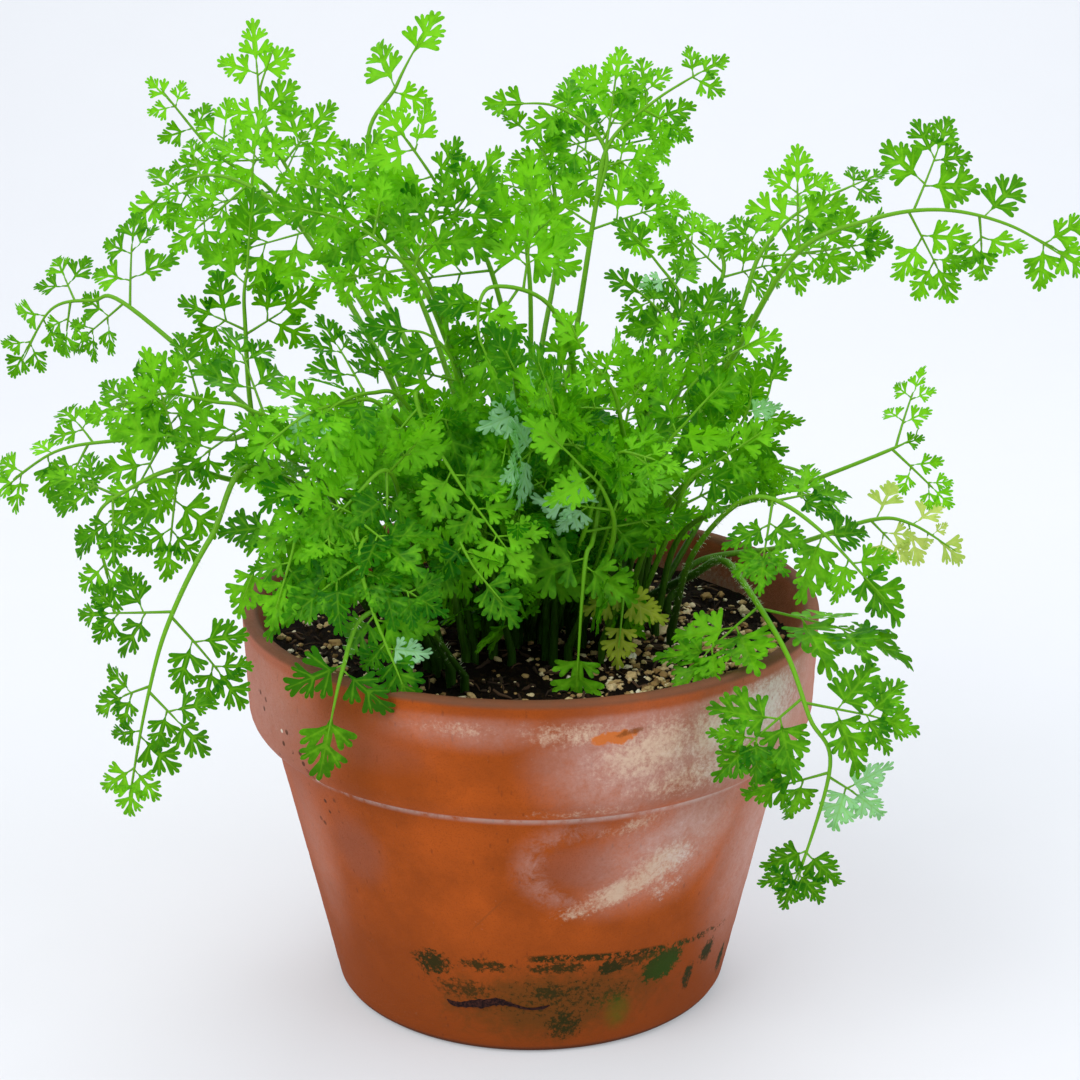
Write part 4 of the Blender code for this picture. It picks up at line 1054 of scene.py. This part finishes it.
def terracotta_finish(clay, clay_dark, clay_pink_sheen, lime, moss):
    """Old terracotta: uneven clay, lime bloom on the collar, moss low on the wall."""
    finish = Finish("terracotta")
    paint = PotPaint(finish)
    arc, height, medium, coarse = paint.arc, paint.height, paint.medium, paint.coarse
    smoke, crust = bloom_cover(paint)
    green, smear, film = moss_cover(finish, paint)
    cream = finish.blend((arc + paint.mottle * 0.02).rise(0.030, 0.060), (0.66, 0.48, 0.34), lime)
    seam = paint.band(73.8, 76.0, 0.8) * (medium + coarse * 0.8 + arc * 1.2).rise(0.58, 1.0)
    scratch = paint.patch(-12, 45, 11, 0.35, 47, ragged=0.15, soft=0.6)
    scrape = paint.patch(20, 99.0, 7.5, 2.0, 3, ragged=1.1, soft=0.35)
    shadow = paint.patch(24, 100.0, 4.5, 1.2, 8, ragged=1.2)
    specks = finish.cells(paint.place, 300.0).rise(0.27, 0.17)
    spots = specks * coarse.rise(0.40, 0.50) * paint.patch(-64, 84, 20, 9, ragged=0.6, soft=0.6)
    for oval in ((-62, 65, 10, 9), (-79, 90, 7, 8)):
        spots = spots.most(specks * paint.patch(*oval, ragged=0.7, soft=0.6))
    chips = paint.patch(-57, 76.5, 0.5, 1.6, 10, ragged=0.2, soft=0.3)
    chips = chips.most(paint.patch(-69, 87.5, 0.7, 0.6, ragged=0.2, soft=0.3))
    lush = paint.clouds((1.0, 46, 22, 17, 11), (1.0, 27, 12, 11, 10))
    stained = (paint.inside * (0.75 + paint.mottle * 0.4)).least(1.0)
    # The top edge of the lip, darkened as a painted shade.
    lip = height.rise(POT_TOP - 0.0020, POT_TOP - 0.0006)

    body = clay_colour(finish, paint, clay, clay_dark, clay_pink_sheen)
    for share, colour in ((smoke * 0.75, (0.60, 0.38, 0.33)), (crust * 0.85, cream), (seam * 0.42, lime),
                          (scratch * 0.30, (0.14, 0.050, 0.012)), (scrape * 0.95, (0.58, 0.150, 0.026)),
                          (shadow * 0.8, (0.20, 0.055, 0.008)), (spots * 0.85, (0.065, 0.022, 0.010)),
                          (chips * 0.9, (0.80, 0.70, 0.60)), (film * 0.70, (0.100, 0.042, 0.004)),
                          ((green * 1.25).least(0.94), finish.blend(lush, moss, (0.010, 0.050, 0.0008))),
                          (smear * 0.75, (0.070, 0.100, 0.002)), (stained, (0.19, 0.052, 0.014)),
                          # A painted contact shadow darkens the bottom of the foot.
                          (height.rise(0.0024, 0.0006) * 0.75, (0.05, 0.018, 0.008)),
                          # The lip's painted shade.
                          (lip * (0.55 + coarse * 0.5), (0.13, 0.062, 0.034))):
        body = finish.blend(share, body, colour)
    relief = finish.bump(medium * 0.5 + paint.fine * 0.5 + paint.powder * 0.12, 0.0005, 0.6)
    return finish.show(finish.surface(body, 0.80 + crust * 0.15, 0.14, Normal=relief))


def soil_surface(x, y):
    """Height of the lumpy top of the soil, as in the CAD model."""
    edge = inner_radius(SOIL_HEIGHT)
    inside = 1.0 - min(1.0, math.hypot(x, y) / edge) ** 6
    lumps = noise.noise(Vector((x, y, 0.0)) / SOIL_LUMP)
    lumps += noise.noise(Vector((x, y, 1.0)) / (2 * SOIL_LUMP))
    return SOIL_HEIGHT + SOIL_RELIEF * inside * lumps


def crumbled_surface(x, y):
    """The same with the crumbs of the mix."""
    crumbs = 0.0015 * noise.noise(Vector((x, y, 3.0)) / 0.0042)
    crumbs += 0.0009 * noise.noise(Vector((x, y, 5.0)) / 0.0017)
    return soil_surface(x, y) + crumbs


def soil_shape():
    """The body of potting mix, as wide as the pot lets it be."""
    sides, rings = 190, 88
    gap = 0.0003
    bottom = FLOOR + gap
    top = inner_radius(SOIL_HEIGHT) - gap
    turn = np.arange(sides) * math.tau / sides
    corners = []
    for ring in range(rings + 1):
        radius = top * math.sqrt((ring + 0.25) / (rings + 0.25))
        for angle in turn:
            x, y = radius * math.cos(angle), radius * math.sin(angle)
            corners.append((x, y, crumbled_surface(x, y) if ring < rings else SOIL_HEIGHT - 0.0004))
    walls = [(inner_radius(height) - gap, height) for height in (0.075, 0.050, 0.028, FLOOR + 0.0031)]
    walls.append((inner_radius(bottom) - 0.0031, bottom))
    for radius, height in walls:
        corners += [(radius * math.cos(angle), radius * math.sin(angle), height) for angle in turn]
    rows = rings + 1 + len(walls)
    middle, base = len(corners), len(corners) + 1
    corners += [(0, 0, crumbled_surface(0, 0)), (0, 0, bottom)]
    last = (rows - 1) * sides
    ends = [(middle, i, (i + 1) % sides) for i in range(sides)]
    ends += [(base, last + (i + 1) % sides, last + i) for i in range(sides)]
    return Shape().add(corners, np.vstack([grid_triangles(rows, sides)[:, ::-1], ends]))


def pebble(subdivisions):
    """Corners and triangles of a ball of radius 1."""
    ball = bmesh.new()
    bmesh.ops.create_icosphere(ball, subdivisions=subdivisions, radius=1.0)
    corners = np.array([vertex.co[:] for vertex in ball.verts])
    triangles = np.array([[vertex.index for vertex in face.verts] for face in ball.faces])
    ball.free()
    return corners, triangles


def spot_on_mix(margin, draw):
    """A spot on the mix, no closer to the pot than the margin."""
    angle = draw.uniform(0, math.tau)
    radius = (inner_radius(SOIL_HEIGHT) - margin) * math.sqrt(draw.random())
    return radius * math.cos(angle), radius * math.sin(angle)


# Where perlite has gathered: how much, the middle in x and y and the half widths.
GATHERED = ((1.0, 0.046, -0.022, 0.026, 0.034), (0.40, -0.058, -0.030, 0.018, 0.022))
FIBRES = 480


def grain_shape(count, low, high, subdivisions, draw):
    """Perlite and grit, thickest on the right where they have gathered, half sunk in the mix."""
    ball, triangles = pebble(subdivisions)
    shape = Shape()
    while count:
        x, y = spot_on_mix(0.0020, draw)
        gathered = sum(share * math.exp(-((x - middle_x) / wide) ** 2 - ((y - middle_y) / deep) ** 2)
                       for share, middle_x, middle_y, wide, deep in GATHERED)
        if draw.random() > 0.07 + 0.93 * gathered:
            continue
        count -= 1
        size = low * (high / low) ** (draw.random() ** 1.7)
        form = [draw.uniform(0.75, 1.35), draw.uniform(0.7, 1.1), draw.uniform(0.5, 0.85)]
        seed = Vector([draw.uniform(0, 99) for _ in range(3)])
        dents = np.array([noise.noise(Vector(corner) * 1.6 + seed) for corner in ball])
        turned = Matrix.Rotation(draw.uniform(0, math.tau), 3, "Z") @ Matrix.Rotation(
            draw.uniform(-0.5, 0.5), 3, "X")
        corners = (ball * (1 + 0.60 * dents)[:, None] * form * size) @ np.array(turned).T
        corners += (x, y, crumbled_surface(x, y) + size * draw.uniform(-0.15, 0.35))
        shape.add(corners, triangles, 0, tone=draw.random())
    return shape


def fibre_shape(draw):
    """Bits of bark and peat fibre that lie on the mix."""
    shape = Shape()
    for _ in range(FIBRES):
        x, y = spot_on_mix(0.004, draw)
        lean = draw.uniform(0, math.tau)
        length = draw.uniform(0.0015, 0.0065)
        bend = draw.uniform(-0.35, 0.35)
        points = []
        for t in (-0.5, -0.2, 0.15, 0.5):
            along, aside = t * length, bend * length * t * t
            px = x + along * math.cos(lean) - aside * math.sin(lean)
            py = y + along * math.sin(lean) + aside * math.cos(lean)
            points.append((px, py, crumbled_surface(px, py) + draw.uniform(0.0001, 0.0007)))
        thick = draw.uniform(0.00012, 0.00045)
        corners, triangles = tube(points, (thick, thick * 1.3, thick * 1.1, thick * 0.5), 5)
        shape.add(corners, triangles, 0, tone=draw.random())
    return shape


def scrap_shape():
    """A dried scrap of leaf with its stalk, stuck low on the wall of the pot."""
    turns = np.radians((-22.6, -21.0, -18.5, -15.5, -12.0, -9.0, -6.5, -3.5, -0.5, 3.0, 5.0))
    heights = np.array((15.6, 14.8, 14.8, 15.6, 16.2, 17.0, 16.6, 15.7, 14.9, 15.2, 15.9)) * MM
    thick = np.array((0.30, 1.05, 1.10, 1.50, 1.60, 1.35, 0.80, 0.45, 0.36, 0.52, 0.14)) * MM
    radii = NECK_RADIUS + (FOOT_RADIUS - NECK_RADIUS) * (1 - heights / NECK_HEIGHT) + 0.0001
    path = np.stack([radii * np.sin(turns), -radii * np.cos(turns), heights], 1)
    points = through([Vector(point) for point in path], 5)
    size = np.interp(np.linspace(0, 1, len(points)), np.linspace(0, 1, len(thick)), thick)
    size *= [0.78 + 0.7 * abs(noise.noise(Vector((i * 0.7, 2.0, 0.0)))) for i in range(len(size))]
    corners, triangles = tube(points, size, 10)
    middles = np.repeat(np.array([tuple(point) for point in points]), 10, axis=0)
    middles = np.vstack([middles, corners[-1]])
    away = middles * (1.0, 1.0, 0.0)
    away /= np.linalg.norm(away, axis=1)[:, None]
    stands = ((corners - middles) * away).sum(axis=1)
    return Shape().add(corners - away * (stands * 0.72)[:, None], triangles)


def soil_finish(colour):
    """Peat: nearly black, with brown crumbs."""
    finish = Finish("potting_soil")
    place = finish.place()
    crumbs = finish.grain(place, 700.0, 3.0, 0.7)
    clods = finish.grain(place, 190.0, 3.0)
    brown = finish.blend((crumbs * 0.8 + clods * 0.5).rise(0.62, 0.85), colour, (0.024, 0.013, 0.005))
    rough = 0.95 - clods.rise(0.35, 0.65) * 0.2
    return finish.show(finish.surface(brown, rough, 0.05, Normal=finish.bump(crumbs, 0.0012, 0.9)))


def grain_finish():
    """Perlite, from white to tan, stained by the mix."""
    finish = Finish("perlite")
    stops = [(0.0, (0.12, 0.062, 0.020)), (0.25, (0.34, 0.21, 0.08)), (0.55, (0.52, 0.38, 0.18)),
             (0.82, (0.64, 0.53, 0.32)), (1.0, (0.74, 0.69, 0.55))]
    colour = finish.node("ShaderNodeValToRGB", {"stops": stops}, {0: finish.written("tone")})
    stain = finish.grain(finish.place(), 520.0, 4.0, 0.65).rise(0.52, 0.72) * 0.65
    return finish.show(finish.surface(finish.blend(stain, colour, (0.10, 0.058, 0.026)), 0.88, 0.2))


def scrap_finish():
    """A dried leaf, nearly black with red streaks."""
    finish = Finish("dried_leaf")
    streaks = finish.grain(finish.place(), 1400.0, 4.0, 0.7)
    colour = finish.blend(streaks.rise(0.4, 0.7), (0.010, 0.004, 0.005), (0.060, 0.020, 0.014))
    relief = finish.bump(streaks, 0.0004, 0.8)
    return finish.show(finish.surface(colour, 0.75 + streaks * 0.2, 0.1, Normal=relief))


def fibre_finish():
    """Bark and peat fibre, from black to brown."""
    finish = Finish("peat_fibre")
    colour = finish.blend(finish.written("tone"), (0.012, 0.007, 0.004), (0.075, 0.040, 0.020))
    streaks = finish.grain(finish.place(), 1800.0, 2.0)
    return finish.show(finish.surface(colour, 0.8 + streaks * 0.15, 0.25))


def colour_property(name, description, default):
    return FloatVectorProperty(name=name, description=description, default=default, size=3, min=0.0,
                               max=1.0, subtype="COLOR")


def colours_of(settings, *names):
    return [tuple(getattr(settings, name)) for name in names]


class ChervilLeafSettings(bpy.types.PropertyGroup):
    leaflet_size: FloatProperty(
        name="Leaflet size", description="How large the leaflets are beside the CAD model's pinnae",
        default=1.02, min=0.5, max=2.0, subtype="FACTOR")
    young_fronds: IntProperty(name="Young fronds", description="Young fronds in the middle of the plant",
                              default=34, min=0, max=70)
    dark: colour_property("Dark green", "Leaf colour in its darkest parts", (0.005, 0.092, 0.001))
    light: colour_property("Light green", "Leaf colour in its lightest parts", (0.190, 0.595, 0.014))
    vein: colour_property("Veins", "Colour of the leaf veins", (0.24, 0.55, 0.02))
    glow: colour_property("Glow", "Colour of the light that comes through a leaf", (0.23, 0.80, 0.002))
    # The stalk colour near the soil is darkened as painted shade.
    stalk_base_shade: colour_property("Stalk", "Colour of a stalk near the soil", (0.016, 0.055, 0.002))
    stalk_high: colour_property("Stalk tip", "Colour of a stalk near its tip", (0.15, 0.42, 0.010))


class ChervilPotSettings(bpy.types.PropertyGroup):
    sides: IntProperty(name="Sides", description="Corners in each ring of the pot", default=168, min=48,
                       max=360)
    clay: colour_property("Clay", "Main colour of the terracotta", (0.46, 0.088, 0.008))
    clay_dark: colour_property("Dark clay", "Colour of the damp, darker clay", (0.22, 0.042, 0.003))
    # The pink at the sides is a painted sheen.
    clay_pink_sheen: colour_property("Pink clay", "Colour of the dry clay at the sides", (0.50, 0.175, 0.115))
    lime: colour_property("Lime", "Colour of the lime bloom", (0.72, 0.64, 0.60))
    moss: colour_property("Moss", "Colour of the moss low on the wall", (0.012, 0.020, 0.001))


class ChervilSoilSettings(bpy.types.PropertyGroup):
    mix: colour_property("Potting mix", "Colour of the damp mix", (0.006, 0.004, 0.003))
    grains: IntProperty(name="Grains", description="Small grains of perlite and grit on the mix",
                        default=1100, min=0, max=2300)
    large_grains: IntProperty(name="Large grains", description="Large grains of perlite on the mix",
                              default=230, min=0, max=500)


class ChervilStageSettings(bpy.types.PropertyGroup):
    floor: colour_property("Floor", "Colour of the floor and backdrop", (0.50, 0.51, 0.54))
    lens: FloatProperty(name="Lens", description="Focal length of the camera", default=90.0, min=20.0,
                        max=200.0, unit="CAMERA")
    pitch: FloatProperty(name="Pitch", description="How far the camera looks down", min=0.0, max=1.5,
                         default=math.radians(18.33), subtype="ANGLE", unit="ROTATION")
    key: FloatProperty(name="Key light", description="Power of the large soft light", default=13.2,
                       min=0.0, max=100.0, unit="POWER")
    sky: FloatProperty(name="Sky", description="Strength of the light from all sides", default=0.66,
                       min=0.0, max=5.0)


class CHERVIL_OT_stage(bpy.types.Operator):
    """Make the floor, backdrop, lights and camera"""
    bl_idname = "chervil.stage"
    bl_label = "Stage"

    CAMERA_PLACE = (0.0025, -0.690, 0.354)
    LIT_SPOT = (0, 0, 0.12)
    # Half width of the floor, where it starts to bend up, the radius of the bend and its top.
    FLOOR_HALF, BEND_START, BEND, BACKDROP_TOP = 3.2, 0.7, 0.6, 2.6
    BELOW_FOOT = 0.0002
    # Each light's place, size, share of the key light's power and colour.
    LIGHTS = {"key": ((-0.65, -0.75, 1.25), 0.9, 1.0, (1.0, 0.985, 0.96)),
              "fill": ((0.95, -0.45, 0.75), 0.9, 0.30, (0.94, 0.97, 1.0)),
              "back": ((0.15, 0.75, 1.15), 0.8, 0.55, (0.97, 0.99, 1.0))}

    def execute(self, context):
        settings = context.scene.chervil_stage
        self.add_floor(tuple(settings.floor))
        for name, (place, size, share, colour) in self.LIGHTS.items():
            lamp = bpy.data.lights.new(name, "AREA")
            lamp.shape = "SQUARE"
            lamp.size = size
            lamp.energy = settings.key * share
            lamp.color = colour
            light = self.add_object(name, lamp, place)
            aim = Vector(self.LIT_SPOT) - Vector(place)
            light.rotation_euler = aim.to_track_quat("-Z", "Y").to_euler()
        world = bpy.data.worlds.new("studio")
        world.use_nodes = True
        background = world.node_tree.nodes["Background"]
        background.inputs["Color"].default_value = (0.94, 0.97, 1.0, 1.0)
        background.inputs["Strength"].default_value = settings.sky
        context.scene.world = world
        context.scene.view_settings.view_transform = "Standard"
        lens = bpy.data.cameras.new("camera")
        lens.lens = settings.lens
        lens.sensor_width = 36.0
        camera = self.add_object("camera", lens, self.CAMERA_PLACE)
        camera.rotation_euler = (math.pi / 2 - settings.pitch, 0.0, 0.0)
        context.scene.camera = camera
        return {"FINISHED"}

    def add_floor(self, colour):
        """A floor that bends up into the backdrop."""
        finish = Finish("stage_floor")
        cloth = finish.grain(finish.place(), 30.0, 0.0)
        surface = finish.surface(finish.blend(cloth * 0.06, colour, (0.60, 0.62, 0.66)), 0.75, 0.1,
                                 Emission_Color=(0.92, 0.95, 0.98), Emission_Strength=0.28)
        stations = [(-2.5, 0.0), (self.BEND_START, 0.0)]
        stations += [(self.BEND_START + self.BEND * math.sin(turn), self.BEND * (1 - math.cos(turn)))
                     for turn in np.linspace(0.15, math.pi / 2, 9)]
        stations.append((self.BEND_START + self.BEND, self.BACKDROP_TOP))
        corners = [(side * self.FLOOR_HALF, y, z - self.BELOW_FOOT)
                   for y, z in stations for side in (-1, 1)]
        shape = Shape().add(corners, grid_triangles(len(stations), 2, False)[:, ::-1])
        shape.piece("floor", finish.show(surface))

    def add_object(self, name, data, place):
        added = bpy.data.objects.new(name, data)
        added.location = place
        bpy.context.scene.collection.objects.link(added)
        return added


class CHERVIL_OT_pot(bpy.types.Operator):
    """Make the terracotta pot with its wear"""
    bl_idname = "chervil.pot"
    bl_label = "Terracotta pot"

    def execute(self, context):
        settings = context.scene.chervil_pot
        names = ("clay", "clay_dark", "clay_pink_sheen", "lime", "moss")
        material = terracotta_finish(*colours_of(settings, *names))
        placed(pot_shape(settings.sides).piece("terracotta_pot", material), "pot", slot="terracotta")
        placed(scrap_shape().piece("leaf_scrap", scrap_finish()))
        return {"FINISHED"}


class CHERVIL_OT_soil(bpy.types.Operator):
    """Make the potting mix with its perlite, grit and fibres"""
    bl_idname = "chervil.soil"
    bl_label = "Potting mix"

    def execute(self, context):
        settings = context.scene.chervil_soil
        draw = random.Random("potting mix")
        mix = soil_finish(tuple(settings.mix))
        placed(soil_shape().piece("potting_mix", mix), "soil", slot="potting_soil")
        perlite = grain_finish()
        for name, count, low, high, subdivisions in (
                ("small_grains", settings.grains, 0.00042, 0.0012, 2),
                ("large_grains", settings.large_grains, 0.0009, 0.0019, 3)):
            shape = grain_shape(count, low, high, subdivisions, draw)
            placed(shape.piece(name, perlite), slot="potting_soil")
        placed(fibre_shape(draw).piece("fibres", fibre_finish()), slot="potting_soil")
        return {"FINISHED"}


class CHERVIL_OT_fronds(bpy.types.Operator):
    """Make every frond of the CAD model with its fine leaflets"""
    bl_idname = "chervil.fronds"
    bl_label = "Fronds"

    def execute(self, context):
        settings = context.scene.chervil_leaf
        plant = Plant(leaflet_templates(), settings.leaflet_size)
        stalk = stalk_finish("green_stalk", *colours_of(settings, "stalk_base_shade", "stalk_high"))
        greens = colours_of(settings, "dark", "light", "vein", "glow")
        leaves = {
            "leaf": leaf_finish("green_leaf", *greens, 0.32),
            "pale_leaf": leaf_finish("pale_green_leaf", (0.30, 0.50, 0.06), (0.54, 0.68, 0.15),
                                     (0.60, 0.72, 0.25), (0.54, 0.72, 0.12), 0.34),
            "yellow_leaf": leaf_finish("yellowing_leaf", (0.10, 0.22, 0.010), (0.36, 0.46, 0.035),
                                       (0.46, 0.52, 0.12), (0.50, 0.66, 0.05), 0.34),
        }
        for frond in FRONDS:
            node = "frond_" + frond.name
            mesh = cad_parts[node].data
            solid = BVHTree.FromPolygons([vertex.co for vertex in mesh.vertices],
                                         [tuple(face.vertices) for face in mesh.polygons])
            shape = Shape()
            plant.dress(shape, FrondPlan(frond, solid))
            placed(shape.piece(frond.name + "_frond", leaves[frond.leaf], stalk), node, slot=frond.leaf)
        placed(hair_shape().piece("stalk_hairs", hair_finish()), slot="leaf")
        return {"FINISHED"}


class CHERVIL_OT_young_fronds(bpy.types.Operator):
    """Make the young fronds that fill the middle of the plant"""
    bl_idname = "chervil.young_fronds"
    bl_label = "Young fronds"

    PIECES = 6
    # Ranges that a young frond is drawn from: how far out it stands, how much farther its tip
    # reaches, how high its arch rises from ARCH_FOOT, and its leafy length, span and tone.
    NEAR, FARTHER, RISE, ARCH_FOOT = (4, 32), (8, 34), (34, 84), 101
    LEAFY, SPAN, TONE = (29, 42), (21, 30), (-0.65, 0.3)
    LUSH = 1.15
    # Directions towards the front, where two of three young fronds grow.
    FRONT = (-2.9, -0.25)

    def execute(self, context):
        settings = context.scene.chervil_leaf
        plant = Plant(leaflet_templates(), settings.leaflet_size)
        draw = random.Random("young fronds")
        shapes = [Shape() for _ in range(self.PIECES)]
        young = [self.young_frond(number, draw) for number in range(settings.young_fronds)]
        near = [frond for frond in FRONDS if frond.name in BESIDE]
        near = [self.frond_beside(frond, number, draw) for number, frond in enumerate(near)]
        for number, frond in enumerate(young):
            plant.dress(shapes[number % self.PIECES], FrondPlan(frond))
        for frond in CROWN_FRONDS:
            plant.dress(shapes[0], FrondPlan(frond))
        for number, frond in enumerate(near):
            plant.dress(shapes[number % self.PIECES], FrondPlan(frond))
        materials = [bpy.data.materials["green_leaf"], bpy.data.materials["green_stalk"]]
        for number, shape in enumerate(shapes):
            placed(shape.piece(f"young_fronds_{number + 1}", *materials), slot="leaf")
        return {"FINISHED"}

    def frond_beside(self, frond, number, draw):
        """One frond that grows close to a large one, where the plant is at its thickest."""
        drift = Vector((draw.uniform(-13, 13), draw.uniform(-14, 6), draw.uniform(-15, 5)))
        foot = (frond.foot[0] + drift.x * 0.25, frond.foot[1] + drift.y * 0.25)
        steps = len(frond.route)
        route = tuple(tuple(Vector(point) + drift * ((step + 1) / steps) ** 0.7)
                      for step, point in enumerate(frond.route))
        face = tuple(Vector(frond.face) + Vector((draw.uniform(-4, 4), 0, draw.uniform(-3, 4))))
        return Frond(f"beside_{number:02d}", foot, route, frond.leafy * draw.uniform(0.85, 1.1),
                     frond.span * draw.uniform(0.8, 1.0), 3, face, frond.cut,
                     frond.tone + draw.uniform(-0.35, 0.15), frond.lush)

    def young_frond(self, number, draw):
        """One frond that rises out of the soil and arches outwards, more of them to the front."""
        turn = draw.uniform(0, math.tau)
        if number % 3:
            turn = draw.uniform(*self.FRONT)
        near = draw.uniform(*self.NEAR)
        far = near + draw.uniform(*self.FARTHER)
        rise = draw.uniform(*self.RISE) * (1.0 - 0.35 * far / 70)
        foot = (near * 0.8 * math.cos(turn) - 2, near * 0.8 * math.sin(turn) + 20)
        wander = draw.uniform(-0.3, 0.3)
        route = []
        for share in (0.3, 0.65, 1.0):
            reach = near + (far - near) * share ** 1.3
            place = turn + wander * share
            height = self.ARCH_FOOT + rise * math.sin(share * 2.0) / 0.91
            route.append((reach * math.cos(place) - 2, reach * math.sin(place) + 5, height))
        face = (math.cos(turn) * 3, math.sin(turn) * 3 - 3, 6)
        cut = draw.choice(("middle", "broad", "broad"))
        return Frond(f"young_{number:02d}", foot, tuple(route), draw.uniform(*self.LEAFY),
                     draw.uniform(*self.SPAN), 3, face, cut, draw.uniform(*self.TONE), self.LUSH)


OPERATORS = (CHERVIL_OT_stage, CHERVIL_OT_pot, CHERVIL_OT_soil, CHERVIL_OT_fronds,
             CHERVIL_OT_young_fronds)
SETTINGS = {"chervil_leaf": ChervilLeafSettings, "chervil_pot": ChervilPotSettings,
            "chervil_soil": ChervilSoilSettings, "chervil_stage": ChervilStageSettings}


class CHERVIL_PT_panel(bpy.types.Panel):
    """Lists the settings and the makers of the potted chervil"""
    bl_idname = "CHERVIL_PT_panel"
    bl_label = "Potted Chervil"
    bl_space_type = "VIEW_3D"
    bl_region_type = "UI"
    bl_category = "Chervil"

    def draw(self, context):
        layout = self.layout
        for operator in OPERATORS:
            layout.operator(operator.bl_idname)
        for name, group in SETTINGS.items():
            box = layout.box()
            for setting in group.__annotations__:
                box.prop(getattr(context.scene, name), setting)


CLASSES = (*SETTINGS.values(), *OPERATORS, CHERVIL_PT_panel)


def register():
    for kind in CLASSES:
        bpy.utils.register_class(kind)
    for name, group in SETTINGS.items():
        setattr(bpy.types.Scene, name, bpy.props.PointerProperty(type=group))


def unregister():
    for name in SETTINGS:
        delattr(bpy.types.Scene, name)
    for kind in reversed(CLASSES):
        bpy.utils.unregister_class(kind)


def main():
    register()
    bpy.ops.chervil.stage()
    bpy.ops.chervil.pot()
    bpy.ops.chervil.soil()
    bpy.ops.chervil.fronds()
    bpy.ops.chervil.young_fronds()


if __name__ == "__main__":
    main()
